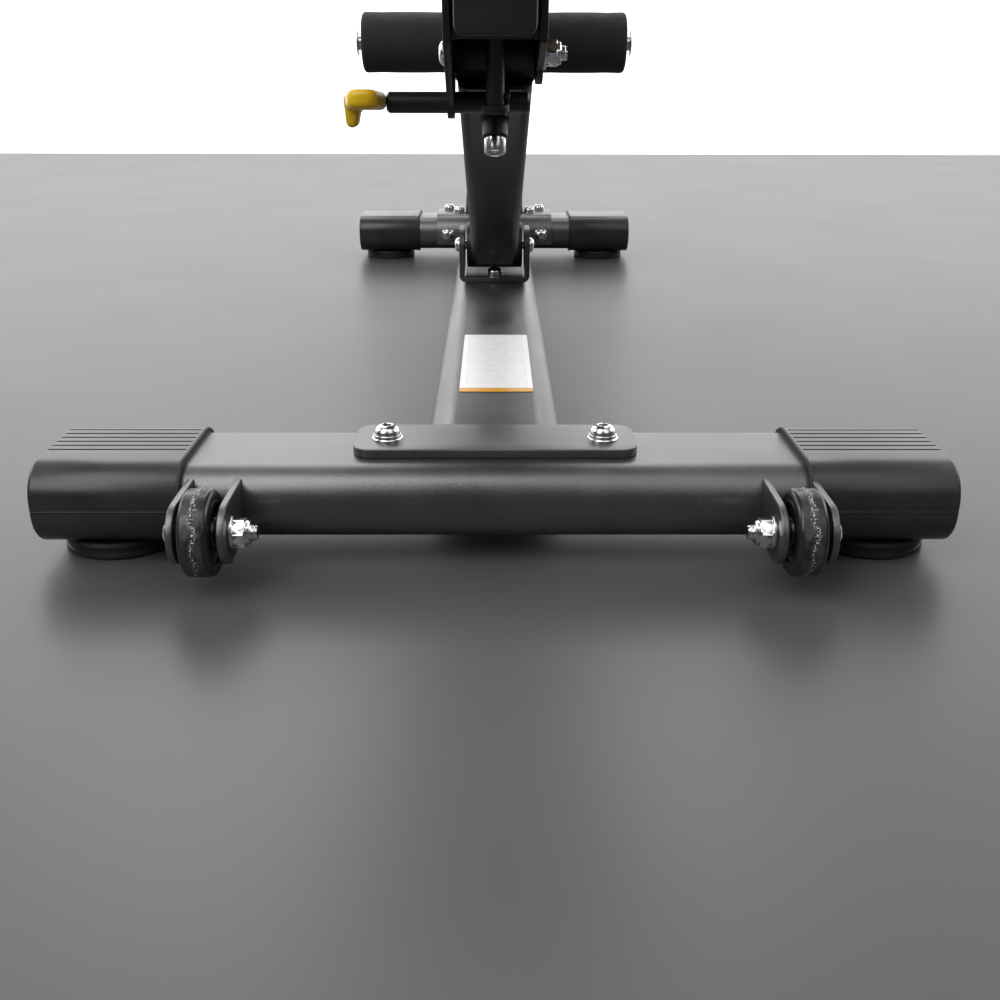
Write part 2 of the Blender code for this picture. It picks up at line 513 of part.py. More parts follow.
# ---- tilting pad ------------------------------------------------------------
def build_pad(root):
    axis = empty("pad_tilt_axis", root, (0, *PAD_PIVOT), DECLINE)
    tube = tube_mesh(RAIL_W, RAIL_W, RAIL_R, RAIL_WALL, RAIL_REAR + RAIL_FRONT, "Y")
    rail = add("pad_rail", tube, axis, (0, (RAIL_FRONT - RAIL_REAR) / 2, 0), BLACK_COAT)
    slot_end = -(CARRIAGE_S + LOCK_BACK + SLOT_MARGIN)
    cut(rail, box_mesh(SLOT_W, SLOT_L, 0.012), axis, (0, slot_end + SLOT_L / 2, -RAIL_W / 2))
    for i in range(SLOT_NOTCHES):
        notch_y = slot_end + SLOT_MARGIN + i * SLOT_PITCH
        cut(rail, rod_mesh(NOTCH_R, 0.012, sides=10), axis, (0, notch_y, -RAIL_W / 2))
    join(rail, rod_mesh(BOSS_R, HEAD_GAP - 0.0008, "X", 16), axis)
    cut(rail, rod_mesh(bore(BOLT_R, 14), 0.08, "X", 14), axis)
    plug = outline_mesh([rounded_rect(RAIL_W - 0.001, RAIL_W - 0.001, RAIL_R)], PLUG_T, "Y")
    cap = add("rail_end_cap", plug, axis, (0, -RAIL_REAR - PLUG_T / 2 - GAP, 0), PLASTIC)
    stem = RAIL_W - 2 * RAIL_WALL - 2 * GAP
    join(cap, outline_mesh([rounded_rect(stem, stem, 0.003, 3)], 0.016, "Y"), axis,
         (0, -RAIL_REAR + 0.006, 0))
    board_z = RAIL_W / 2 + SUPPORT_T + 2 * GAP
    for place, y in SUPPORT_Y.items():
        bar = outline_mesh([rounded_rect(SUPPORT_W, SUPPORT_L, SUPPORT_R)], SUPPORT_T)
        add("pad_support_" + place, bar, axis, (0, y, RAIL_W / 2 + GAP + SUPPORT_T / 2), BLACK_COAT)
    middle = -(PAD_START + PAD_L / 2)
    inset = 2 * BOARD_INSET
    board = outline_mesh([rounded_rect(PAD_W - inset, PAD_L - inset, BOARD_R)], BOARD_T)
    add("pad_board", board, axis, (0, middle, board_z + BOARD_T / 2), PLYWOOD)
    cushion = outline_mesh([rounded_rect(PAD_W, PAD_L, PAD_R, 6)], PAD_T)
    pad = add("pad_cushion", cushion, axis, (0, middle, board_z + BOARD_T + GAP + PAD_T / 2), VINYL)
    edge = pad.modifiers.new("edge", "BEVEL")
    edge.width, edge.segments, edge.limit_method = PAD_EDGE, 2, "ANGLE"
    edge.angle_limit = math.radians(60)


# ---- strut, carriage and release lever ---------------------------------------
def build_strut(root):
    axis = empty("strut_axis", root, (0, BRACKET_Y, STRUT_PIVOT_Z), -STRUT_ANGLE)
    strut = add("strut_tube", tube_mesh(STRUT_W, STRUT_H, STRUT_R, STRUT_WALL, STRUT_LEN, "Y"),
                axis, (0, -STRUT_LEN / 2, 0), BLACK_COAT)
    for y, radius, width in ((0, SLEEVE_R, SLEEVE_W), (-STRUT_LEN, BOSS_R, BOSS_W)):
        join(strut, rod_mesh(radius, width, "X", 24), axis, (0, y, 0))
        cut(strut, rod_mesh(bore(BOLT_R, 14), 0.10, "X", 14), axis, (0, y, 0))
    join(strut, rod_mesh(PLUNGER_SEAT, 0.017, sides=14), axis,
         (0, -PIN_ALONG, -STRUT_H / 2 - 0.0065))
    cut(strut, rod_mesh(bore(PLUNGER_R, 14), 0.040, sides=14), axis, (0, -PIN_ALONG, -STRUT_H / 2))
    pin_axis = empty("plunger_axis", axis, (0, -PIN_ALONG, -STRUT_H / 2))
    pin = [(0.0, 0.0215), (0.004, 0.0215), (PLUNGER_R, 0.019), (PLUNGER_R, -0.0156),
           (0.0079, -0.0156), (0.0079, -0.0255), (0.0072, -0.0265), (0.0053, -0.0265),
           (0.0048, -0.0225), (0.0, -0.0225)]
    turned("plunger_pin", pin, pin_axis, (0, 0, 0), CHROME, steps=16)
    return axis


def build_carriage(strut_axis):
    axis = empty("carriage_axis", strut_axis, (0, -STRUT_LEN, 0), STRUT_ANGLE + DECLINE)
    top = CARRIAGE_DROP + 0.010
    front, back, low, snip = CHEEK_FRONT, CHEEK_BACK, CHEEK_LOW + 0.002, 0.004
    upper = [(front, top - snip), (front - snip, top), (back + snip, top), (back, top - snip), (back, low)]
    lobe = arc(0, 0, CHEEK_LOW, 300, 360, 5) + [(front, low)]
    plate = box_mesh(2 * CHEEK_X - 0.004, front - back - 0.006, CHEEK_T)
    carriage = add("carriage", plate, axis,
                   (0, (front + back) / 2, CARRIAGE_DROP - RAIL_W / 2 - CHEEK_T), BLACK_COAT)
    shapes = {-1: upper + arc(*SHAFT_AT, SHAFT_BOSS, 180, 290, 5) + lobe,
              1: upper + arc(0, 0, CHEEK_LOW, 200, 290, 5) + lobe}
    for side, outline in shapes.items():
        join(carriage, outline_mesh([outline], CHEEK_T, "X"), axis, (side * CHEEK_X, 0, 0))
    cut(carriage, rod_mesh(BOLT_R + GAP, 0.10, "X", 14), axis)
    cut(carriage, rod_mesh(bore(SHAFT_R, 20), 0.03, "X", 20), axis, (-CHEEK_X - 0.004, *SHAFT_AT))
    cut(carriage, rod_mesh(bore(LOCK_R, 14), 0.03, sides=14), axis,
        (0, -LOCK_BACK, CARRIAGE_DROP - 0.030))
    outside = CHEEK_X + CHEEK_T / 2 + GAP
    through_bolt("carriage_bolt", axis, (0, 0, 0), -outside, outside)
    build_lever(axis)
    lock_axis = empty("lock_pin_axis", axis, (0, -LOCK_BACK, CARRIAGE_DROP))
    collar = LOCK_COLLAR_T - LOCK_LOW
    lock = [(0.0, -0.0175), (0.0045, -0.0175), (LOCK_R, -0.0200), (LOCK_R, collar),
            (LOCK_COLLAR_R, collar), (LOCK_COLLAR_R, -LOCK_LOW), (0.0, -LOCK_LOW)]
    turned("lock_pin", lock, lock_axis, (0, 0, 0), BLACK_COAT, steps=14)


def build_lever(carriage_axis):
    """Cross shaft with a finger that draws the lock pin, and the yellow handle on its end."""
    axis = empty("lever_axis", carriage_axis, (0, *SHAFT_AT), -DECLINE)
    length = SHAFT_RIGHT - SHAFT_LEFT
    middle = (SHAFT_RIGHT + SHAFT_LEFT) / 2
    shaft = add("release_shaft", rod_mesh(SHAFT_R, length, "X", 14), axis, (middle, 0, 0), BLACK_COAT)
    edge = shaft.modifiers.new("edge", "BEVEL")
    edge.width, edge.segments, edge.limit_method = 0.002, 1, "ANGLE"
    edge.angle_limit = math.radians(60)
    finger = arc(*FINGER_TIP, 0.0027, 90, 270, 4) + arc(0, 0, SHAFT_R + 0.0015, 150, 450, 8)
    join(shaft, outline_mesh([finger], FINGER_T, "X"), axis,
         (LOCK_R + FINGER_T / 2 + 0.0006, 0, 0), tilt=DECLINE)
    plan = (arc(SHAFT_LEFT - 0.0065, 0.005, 0.006, 0, 90, 3)
            + arc(-0.0960, 0.004, 0.007, 90, 180, 3) + arc(-0.0870, -0.056, 0.007, 190, 270, 3)
            + arc(SHAFT_LEFT - 0.0085, -0.055, 0.008, 270, 360, 3))
    handle = add("release_handle", outline_mesh([plan], 0.012), axis, (0, 0, 0.0010), YELLOW,
                 tilt=math.radians(-3))
    hook = ([(-0.1030, 0.004), (-0.1020, -0.008)] + arc(-0.0975, -0.0120, 0.0042, 190, 330, 5)
            + [(-0.0915, -0.004), (-0.0900, 0.004)])
    join(handle, outline_mesh([hook], 0.018, "Y"), axis)


# ---- leg hold -------------------------------------------------------------------
def roller_set(prefix, parent, y, z, body_parent):
    """Foam rollers with their bar and bar-end caps."""
    half = BAR_HALF
    end = [(0.0, half + 0.005), (BAR_CAP_R - 0.004, half + 0.004), (BAR_CAP_R, half + 0.001),
           (BAR_CAP_R, half), (BAR_R, half)]
    profile = end + [(r, -z) for r, z in reversed(end)]
    turned(prefix + "_bar", profile, parent, (0, y, z), CHROME, steps=16, turn=(0, math.pi / 2, 0))
    for side, sign in (("left", -1), ("right", 1)):
        spin = empty(prefix + "_spin_" + side, body_parent, (sign * ROLLER_X, y, z))
        half, hole, edge = ROLLER_L / 2, bore(BAR_R, 20), 0.008
        end = [(hole, half)] + [(ROLLER_R - edge + edge * math.sin(a), half - edge + edge * math.cos(a))
                                for a in (0, math.pi / 4, math.pi / 2)]
        profile = end + [(r, -z) for r, z in reversed(end)]
        turned(prefix + "_roller_" + side, profile, spin, (0, 0, 0), FOAM, steps=20,
               turn=(0, math.pi / 2, 0), closed=True)


def build_leg_hold(root):
    wide, up, down = RECEIVER_W, RECEIVER_UP, RECEIVER_DOWN
    axis = empty("leg_slide_axis", root, (0, LEG_Y, LEG_Z), LEG_LEAN)
    start = FRONT_Y + UPRIGHT_D / 2 + GAP
    arm = add("leg_arm", tube_mesh(ARM_W, ARM_W, ARM_R, ARM_WALL, ARM_L, "Y"), root,
              (0, start + ARM_L / 2, ARM_Z), CHARCOAL)
    cut(arm, box_mesh(0.08, wide + 2 * GAP, 0.40), axis, (0, 0, 0))
    cut(arm, box_mesh(0.08, 0.20, 0.40), axis, (0, wide / 2 + 0.09, 0))
    receiver = add("leg_receiver", tube_mesh(wide, wide, RECEIVER_R, RECEIVER_WALL, up + down, "Z"),
                   axis, (0, 0, (up - down) / 2), CHARCOAL)
    cut(receiver, rod_mesh(BAR_R + GAP, 0.10, "X", 16), axis, (0, 0, KNEE_UP))
    cut(receiver, rod_mesh(0.0064, 0.02, "Y", 10), axis, (0, wide / 2, -KNOB_ALONG))
    plug = outline_mesh([rounded_rect(wide, wide, RECEIVER_R)], PLUG_T)
    cap = add("receiver_cap", plug, axis, (0, 0, up + PLUG_T / 2 + GAP), PLASTIC)
    stem = wide - 2 * (RECEIVER_WALL + GAP)
    join(cap, outline_mesh([rounded_rect(stem, stem, 0.003, 3)], 0.012), axis, (0, 0, up - 0.003))
    tube = tube_mesh(POST_W, POST_W, POST_R, POST_WALL, POST_TOP - POST_BOTTOM, "Z")
    post = add("leg_post", tube, axis, (0, 0, (POST_TOP + POST_BOTTOM) / 2), BLACK_COAT)
    cut(post, box_mesh(0.0125, 0.012, 0.134), axis, (0, POST_W / 2, -KNOB_ALONG + 0.060))
    cut(post, rod_mesh(BAR_R + GAP, 0.10, "X", 16), axis, (0, 0, -ANKLE_DOWN))
    plug = outline_mesh([rounded_rect(POST_W, POST_W, POST_R)], PLUG_T)
    end = add("leg_post_cap", plug, axis, (0, 0, POST_BOTTOM - PLUG_T / 2 - GAP), PLASTIC)
    stem = POST_W - 2 * (POST_WALL + GAP)
    join(end, outline_mesh([rounded_rect(stem, stem, 0.002, 3)], 0.010), axis,
         (0, 0, POST_BOTTOM + 0.003))
    roller_set("knee", axis, 0, KNEE_UP, axis)
    roller_set("ankle", axis, 0, -ANKLE_DOWN, axis)
    build_pull_knob(axis, wide / 2)


def build_pull_knob(axis, face):
    """Spring plunger on the receiver's front that holds the leg post."""
    hole = bore(PLUNGER_R, 14)
    housing = [(hole, 0.0), (hole, 0.020), (0.0095, 0.020), (0.0095, 0.012),
               (0.0115, 0.010), (0.0115, 0.0)]
    turned("knob_housing", housing, axis, (0, face + GAP, -KNOB_ALONG), CHROME, steps=14,
           turn=(-math.pi / 2, 0, 0), closed=True)
    knob_axis = empty("knob_axis", axis, (0, face, -KNOB_ALONG))
    knob = [(0.0, 0.047), (0.011, 0.046), (0.0165, 0.041), (0.0165, 0.034), (0.012, 0.030),
            (0.010, 0.0206), (PLUNGER_R, 0.0206), (PLUNGER_R, -0.009), (0.0042, -0.011), (0.0, -0.011)]
    turned("pull_knob", knob, knob_axis, (0, 0, 0), YELLOW, steps=16, turn=(-math.pi / 2, 0, 0))


def main():
    root = empty("bench_origin", None, (0, -ORIGIN_Y, 0))
    build_base(root)
    build_front(root)
    build_pad(root)
    build_carriage(build_strut(root))
    build_leg_hold(root)


main()
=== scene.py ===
"""Looks of the decline sit-up bench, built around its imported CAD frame.

Every piece is made in the local frame of the part it stands for.  Sizes and
places are read from the CAD nodes; lengths are in metres.
"""
import json
import math
import random

import bmesh
import bpy
from mathutils import Matrix, Vector
from mathutils.bvhtree import BVHTree

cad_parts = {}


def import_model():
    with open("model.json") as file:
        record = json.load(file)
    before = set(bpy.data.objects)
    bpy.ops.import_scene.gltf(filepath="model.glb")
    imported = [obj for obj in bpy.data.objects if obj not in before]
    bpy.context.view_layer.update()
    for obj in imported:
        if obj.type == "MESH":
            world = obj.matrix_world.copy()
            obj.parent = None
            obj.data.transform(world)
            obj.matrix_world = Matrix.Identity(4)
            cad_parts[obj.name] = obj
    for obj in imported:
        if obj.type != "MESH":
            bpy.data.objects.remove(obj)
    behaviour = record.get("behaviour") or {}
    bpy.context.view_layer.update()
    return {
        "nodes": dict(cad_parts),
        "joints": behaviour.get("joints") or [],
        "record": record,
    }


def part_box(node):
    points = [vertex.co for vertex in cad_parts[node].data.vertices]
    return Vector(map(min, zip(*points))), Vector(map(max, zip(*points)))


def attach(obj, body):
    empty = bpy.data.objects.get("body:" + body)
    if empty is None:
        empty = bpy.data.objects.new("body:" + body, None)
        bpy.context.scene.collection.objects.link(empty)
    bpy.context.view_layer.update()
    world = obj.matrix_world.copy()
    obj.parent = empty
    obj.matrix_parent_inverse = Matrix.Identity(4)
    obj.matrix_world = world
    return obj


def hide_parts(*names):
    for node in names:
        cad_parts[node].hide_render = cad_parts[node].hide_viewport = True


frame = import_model()
scene = bpy.context.scene
NODES = frame["nodes"]
JOINTS = {joint["name"]: joint for joint in frame["joints"]}
BODY_OF = {node: body for body, nodes in frame["record"]["behaviour"]["bodies"].items() for node in nodes}
SLOT_OF = {part["node"]: part["material_slot"] for part in frame["record"]["subparts"]}


# ---- local frames, from the joints in the record --------------------------------
def tilted(origin, up):
    """Frame at the origin, turned about X so that its Z axis runs along the direction."""
    return Matrix.Translation(origin) @ Matrix.Rotation(math.atan2(-up.y, up.z), 4, "X")


lock_axis = Vector(JOINTS["lock_pin_slide"]["axis"])
strut_down = Vector(JOINTS["plunger_pull"]["axis"])
leg_down = Vector(JOINTS["leg_slide"]["axis"])
rear_lo, rear_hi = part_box("rear_crossbar")
REAR_Y = (rear_lo.y + rear_hi.y) / 2
ROOT = Matrix.Translation((0, REAR_Y, 0))
PAD = tilted(JOINTS["pad_tilt"]["pos_m"], -lock_axis)
STRUT = tilted(JOINTS["strut_tilt"]["pos_m"], -strut_down)
CARRIAGE = tilted(JOINTS["carriage_pivot"]["pos_m"], -lock_axis)
LEVER = Matrix.Translation(JOINTS["lever_pull"]["pos_m"])
knee_pin = Vector(JOINTS["knee_roller_spin_left"]["pos_m"])
LEG = tilted((0, knee_pin.y, knee_pin.z), -leg_down)   # at the knee roller bar


def span(node, place=Matrix.Identity(4)):
    """Lowest and highest corner of a CAD node in a local frame."""
    inverse = place.inverted()
    points = [inverse @ v.co for v in NODES[node].data.vertices]
    return (Vector([min(p[i] for p in points) for i in range(3)]),
            Vector([max(p[i] for p in points) for i in range(3)]))


# ---- materials ------------------------------------------------------------------
class Look:
    """A Principled material and the nodes that vary it over the surface."""

    def __init__(self, name, color, roughness, metallic=0.0, **sockets):
        self.material = bpy.data.materials.new(name)
        self.material.use_nodes = True
        self.material.diffuse_color = (*color, 1.0)
        self.tree = self.material.node_tree
        self.shader = self.tree.nodes["Principled BSDF"]
        values = {"Base Color": (*color, 1.0), "Roughness": roughness, "Metallic": metallic, **sockets}
        for socket, value in values.items():
            self.shader.inputs[socket].default_value = value
        self.coords = self.tree.nodes.new("ShaderNodeTexCoord").outputs["Object"]
        self.normal = None

    def node(self, kind, inputs=(), **settings):
        made = self.tree.nodes.new(kind)
        for key, value in settings.items():
            setattr(made, key, value)
        for socket, value in dict(inputs).items():
            if isinstance(value, bpy.types.NodeSocket):
                self.tree.links.new(value, made.inputs[socket])
            else:
                made.inputs[socket].default_value = value
        return made

    def stretched(self, stretch):
        return self.node("ShaderNodeMapping", {"Vector": self.coords, "Scale": stretch}).outputs[0]

    def noise(self, scale, detail=3.0, stretch=None):
        where = self.stretched(stretch) if stretch else self.coords
        inputs = {"Vector": where, "Scale": scale, "Detail": detail}
        return self.node("ShaderNodeTexNoise", inputs).outputs["Fac"]

    def cells(self, scale, feature="F1", stretch=None):
        where = self.stretched(stretch) if stretch else self.coords
        return self.node("ShaderNodeTexVoronoi", {"Vector": where, "Scale": scale},
                         feature=feature).outputs["Distance"]

    def axis(self, name):
        return self.node("ShaderNodeSeparateXYZ", {"Vector": self.coords}).outputs[name]

    def math(self, operation, a, b=0.5):
        return self.node("ShaderNodeMath", {0: a, 1: b}, operation=operation).outputs[0]

    def ease(self, value, low, high, to_low=0.0, to_high=1.0):
        inputs = {"Value": value, "From Min": low, "From Max": high, "To Min": to_low, "To Max": to_high}
        return self.node("ShaderNodeMapRange", inputs).outputs["Result"]

    def blend(self, factor, a, b):
        """Colour a where the factor is 0 and b where it is 1."""
        made = self.node("ShaderNodeMix", data_type="RGBA")
        for index, value in ((0, factor), (6, a), (7, b)):
            if isinstance(value, bpy.types.NodeSocket):
                self.tree.links.new(value, made.inputs[index])
            else:
                made.inputs[index].default_value = value if index == 0 else (*value, 1.0)
        return made.outputs[2]

    def color(self, socket):
        self.tree.links.new(socket, self.shader.inputs["Base Color"])

    def roughness(self, socket):
        self.tree.links.new(socket, self.shader.inputs["Roughness"])

    def bump(self, height, distance, strength=1.0):
        inputs = {"Height": height, "Distance": distance, "Strength": strength}
        if self.normal:
            inputs["Normal"] = self.normal
        self.normal = self.node("ShaderNodeBump", inputs).outputs["Normal"]
        self.tree.links.new(self.normal, self.shader.inputs["Normal"])


def shade(color, factor):
    return tuple(min(1.0, c * factor) for c in color)


def powder_coat(name, color, roughness, metallic):
    """Baked-on powder paint: fine orange-peel grain, faint handling marks."""
    look = Look(name, color, roughness, metallic)
    grain, cloud = look.noise(900, 2.0), look.noise(14, 4.0)
    speck = look.ease(grain, 0.62, 0.74)
    smudge = look.ease(cloud, 0.35, 0.7)
    base = look.blend(smudge, shade(color, 0.88), shade(color, 1.12))
    look.color(look.blend(look.math("MULTIPLY", speck, 0.5), base, shade(color, 2.0)))
    look.roughness(look.ease(cloud, 0.3, 0.7, roughness - 0.05, roughness + 0.06))
    look.bump(grain, 0.00022, 0.55)
    return look


def plated(name, color, roughness):
    """Bright zinc or chrome with fine scratches and clouding."""
    look = Look(name, color, roughness, 1.0)
    cloud, scratch = look.noise(180, 4.0), look.noise(420, 2.0, (1.0, 14.0, 1.0))
    look.color(look.blend(cloud, shade(color, 0.86), shade(color, 1.06)))
    look.roughness(look.ease(cloud, 0.3, 0.7, roughness - 0.03, roughness + 0.05))
    look.bump(scratch, 0.00001, 0.08)
    return look


def moulded(name, color, low, high, grain=700, depth=0.00015, **sockets):
    """Moulded rubber or plastic: cloudy sheen over a fine texture; the cloud varies the roughness and also
    lightens the colour, partly real mottling and partly painted sheen.
    """
    look = Look(name, color, (low + high) / 2, **sockets)
    cloud, fine, streak = look.noise(22, 5.0), look.noise(grain, 2.0), look.noise(9, 3.0, (3.0, 1.0, 1.0))
    haze_and_painted_sheen = look.math("MULTIPLY", look.ease(cloud, 0.3, 0.72), look.ease(streak, 0.35, 0.65, 0.6, 1.0))
    # Painted sheen and real mottling: the haze lightens the colour in cloudy patches that stand in for cloudy
    # highlights.
    look.color(look.blend(haze_and_painted_sheen, shade(color, 0.8), shade(color, 1.35)))
    look.roughness(look.ease(haze_and_painted_sheen, 0.0, 1.0, low, high))
    look.bump(fine, depth, 0.5)
    return look


def dusty_tyre(name, color):
    """Glossy black rubber, its tread grey with dust and with pale grit along the middle."""
    look = Look(name, color, 0.3)
    z = look.axis("Z")
    across = look.math("ABSOLUTE", z)
    patch, fine = look.noise(110, 5.0), look.noise(520, 4.0)
    tread = look.ease(across, 0.0052, 0.0068, 1.0, 0.0)
    band = look.math("MULTIPLY", tread, look.ease(fine, 0.35, 0.62, 0.35, 1.0))
    dust = look.math("MULTIPLY", band, look.ease(patch, 0.42, 0.60, 0.08, 1.0))
    wander = look.math("ADD", z, look.ease(look.noise(70, 2.0), 0.3, 0.7, -0.0022, 0.0022))
    track = look.ease(look.math("ABSOLUTE", wander), 0.0008, 0.0022, 1.0, 0.0)
    grit = look.math("MULTIPLY", track, look.ease(look.noise(1100, 2.0), 0.55, 0.62))
    dusty = look.blend(dust, color, (0.070, 0.069, 0.067))
    look.color(look.blend(grit, dusty, (0.80, 0.79, 0.76)))
    look.roughness(look.ease(dust, 0.0, 0.6, 0.24, 0.7))
    look.bump(patch, 0.0006, 0.5)
    look.bump(grit, 0.0003, 0.6)
    return look


def printed_film(name, length):
    """White label film: orange band at the near end and plain grey rules, no lettering."""
    look = Look(name, (0.86, 0.86, 0.85), 0.34)
    x, y = look.axis("X"), look.axis("Y")
    band = look.ease(y, 0.010 - length / 2, 0.0104 - length / 2, 1.0, 0.0)
    row = look.math("FRACT", look.math("MULTIPLY", y, 270.0))
    ink = look.ease(row, 0.38, 0.42, 1.0, 0.0)
    inside = look.ease(look.math("ABSOLUTE", x), 0.0255, 0.0257, 1.0, 0.0)
    gaps = look.ease(look.noise(120, 1.0, (1.0, 3.0, 1.0)), 0.36, 0.44)
    rules = look.math("MULTIPLY", look.math("MULTIPLY", ink, inside), gaps)
    paper = look.blend(look.noise(40, 3.0), (0.90, 0.90, 0.89), (0.97, 0.97, 0.96))
    printed = look.blend(look.math("MULTIPLY", rules, 0.34), paper, (0.2, 0.2, 0.2))
    orange = look.blend(look.ease(row, 0.5, 0.52), (0.80, 0.38, 0.012), (0.6, 0.25, 0.01))
    look.color(look.blend(band, printed, orange))
    look.bump(look.noise(60, 2.0), 0.0002, 0.3)
    return look


def grained_vinyl(name, color):
    """Upholstery vinyl: pebbled leather grain with soft creasing."""
    look = Look(name, color, 0.42)
    pebble, crease, cloud = look.cells(620), look.noise(38, 4.0), look.noise(9, 3.0)
    look.color(look.blend(look.ease(pebble, 0.05, 0.6), shade(color, 0.7), shade(color, 1.3)))
    look.roughness(look.ease(cloud, 0.3, 0.7, 0.36, 0.5))
    look.bump(pebble, 0.00035, 0.5)
    look.bump(crease, 0.0012, 0.25)
    return look


def foam_skin(name, color):
    """Closed-cell foam sleeve: matte skin full of fine pores."""
    look = Look(name, color, 0.82)
    pores, cloud = look.cells(850), look.noise(30, 4.0)
    look.color(look.blend(cloud, shade(color, 0.75), shade(color, 1.45)))
    look.roughness(look.ease(cloud, 0.3, 0.7, 0.74, 0.9))
    look.bump(pores, 0.0005, 0.6)
    look.bump(cloud, 0.0015, 0.3)
    return look


def laminated_board(name, color):
    """Plywood: long grain on the faces and plies along the edge."""
    look = Look(name, color, 0.6)
    fibre = look.noise(60, 5.0, (4.0, 0.25, 4.0))
    ply = look.ease(look.math("SINE", look.math("MULTIPLY", look.axis("Z"), 2600.0)), -0.3, 0.3)
    face = look.blend(look.ease(fibre, 0.3, 0.7), shade(color, 0.75), shade(color, 1.15))
    look.color(look.blend(look.math("MULTIPLY", ply, 0.45), face, shade(color, 0.45)))
    look.roughness(look.ease(fibre, 0.3, 0.7, 0.5, 0.7))
    look.bump(fibre, 0.0004, 0.4)
    return look


label_lo, label_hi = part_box("warning_label")
LOOKS = {
    "charcoal_powder_coat": powder_coat("charcoal_powder_coat", (0.15, 0.15, 0.153), 0.36, 0.85),
    "black_powder_coat": powder_coat("black_powder_coat", (0.013, 0.013, 0.014), 0.40, 0.1),
    "zinc_hardware": plated("zinc_hardware", (0.78, 0.78, 0.80), 0.19),
    "cap_rubber": moulded("cap_rubber", (0.024, 0.024, 0.025), 0.27, 0.38, 700, 0.0001),
    "foot_rubber": moulded("foot_rubber", (0.012, 0.012, 0.012), 0.5, 0.7),
    "wheel_rubber": dusty_tyre("wheel_rubber", (0.016, 0.016, 0.016)),
    "yellow_plastic": moulded("yellow_plastic", (0.86, 0.50, 0.008), 0.30, 0.42, 500, 0.0001),
    "label_film": printed_film("label_film", label_hi.y - label_lo.y),
    "black_vinyl": grained_vinyl("black_vinyl", (0.019, 0.019, 0.020)),
    "black_foam": foam_skin("black_foam", (0.020, 0.020, 0.020)),
    "plywood": laminated_board("plywood", (0.42, 0.30, 0.17)),
    "black_plastic": moulded("black_plastic", (0.018, 0.018, 0.018), 0.34, 0.46),
}


# ---- mesh tools -------------------------------------------------------------------
TURNS = {"X": Matrix(((0, 0, 1), (1, 0, 0), (0, 1, 0))).to_4x4(),
         "Y": Matrix(((1, 0, 0), (0, 0, -1), (0, 1, 0))).to_4x4(),
         "Z": Matrix.Identity(4)}
HERE = Matrix.Identity(4)
CREASE = math.radians(32)


def arc(cx, cy, radius, start, end, steps=10):
    """Points on an arc, angles in degrees, both ends included."""
    angles = [math.radians(start + (end - start) * i / steps) for i in range(steps + 1)]
    return [(cx + radius * math.cos(a), cy + radius * math.sin(a)) for a in angles]


def mirrored(half, middle=()):
    """A profile of (radius, height) points, any points at its middle, and its mirror image below."""
    return half + list(middle) + [(point[0], -point[1], *point[2:]) for point in reversed(half)]


def rounded_rect(width, height, radius, steps=10):
    x, y = width / 2 - radius, height / 2 - radius
    corners = ((1, 1, 0), (-1, 1, 90), (-1, -1, 180), (1, -1, 270))
    return [p for sx, sy, start in corners for p in arc(sx * x, sy * y, radius, start, start + 90, steps)]


def extruded(loops, thickness, axis="Z", edge=0.0005):
    """Flat outline with its holes, given a thickness and rounded edges."""
    curve = bpy.data.curves.new("outline", "CURVE")
    curve.dimensions, curve.fill_mode = "2D", "BOTH"
    curve.extrude, curve.offset = thickness / 2 - edge, -edge
    curve.bevel_depth, curve.bevel_resolution = edge, 2
    for points in loops:
        spline = curve.splines.new("POLY")
        spline.points.add(len(points) - 1)
        for point, (x, y) in zip(spline.points, points):
            point.co = (x, y, 0, 1)
        spline.use_cyclic_u = True
    holder = bpy.data.objects.new("outline", curve)
    scene.collection.objects.link(holder)
    mesh = bpy.data.meshes.new_from_object(holder.evaluated_get(bpy.context.evaluated_depsgraph_get()))
    bpy.data.objects.remove(holder)
    bpy.data.curves.remove(curve)
    weld(mesh)
    mesh.transform(TURNS[axis])
    return mesh


def weld(mesh):
    """Merge doubled points and turn every face outward."""
    shape = bmesh.new()
    shape.from_mesh(mesh)
    bmesh.ops.remove_doubles(shape, verts=shape.verts, dist=0.00001)
    bmesh.ops.recalc_face_normals(shape, faces=shape.faces)
    shape.to_mesh(mesh)
    shape.free()


def tube(width, height, radius, wall, length, axis):
    inner = rounded_rect(width - 2 * wall, height - 2 * wall, max(radius - wall, 0.001))
    return extruded([rounded_rect(width, height, radius), inner], length, axis, 0.0004)


def lathe(profile, steps=48, axis="Z", ripple=0.0, lobes=0):
    """Turn (radius, height) points about Z.

    A third number makes the ring six-sided with the radius as half its width
    across flats, and cuts its corners at that number.
    """
    def reach(point, angle):
        if len(point) == 3:
            fold = (angle + math.pi / 6) % (math.pi / 3) - math.pi / 6
            return min(point[0] / math.cos(fold), point[2])
        return point[0] * (1 + ripple * math.cos(lobes * angle))

    mesh = bpy.data.meshes.new("lathe")
    verts, rings = [], []
    for point in profile:
        if point[0] < 0.00001:
            rings.append([len(verts)] * steps)
            verts.append((0, 0, point[1]))
            continue
        rings.append(list(range(len(verts), len(verts) + steps)))
        for i in range(steps):
            angle = 2 * math.pi * i / steps
            r = reach(point, angle)
            verts.append((r * math.cos(angle), r * math.sin(angle), point[1]))
    if profile[0][0] > 0.00001:
        rings.append(rings[0])
    faces = []
    for a, b in zip(rings, rings[1:]):
        for i in range(steps):
            corners = [a[i], a[(i + 1) % steps], b[(i + 1) % steps], b[i]]
            faces.append([c for n, c in enumerate(corners) if c not in corners[:n]])
    mesh.from_pydata(verts, [], [f for f in faces if len(f) > 2])
    weld(mesh)
    mesh.transform(TURNS[axis])
    return mesh


def merged(parts):
    """One mesh out of (mesh, matrix) pairs."""
    shape = bmesh.new()
    for mesh, place in parts:
        mesh.transform(place)
        shape.from_mesh(mesh)
    result = bpy.data.meshes.new("merged")
    shape.to_mesh(result)
    shape.free()
    return result


def at(x=0.0, y=0.0, z=0.0):
    return Matrix.Translation((x, y, z))


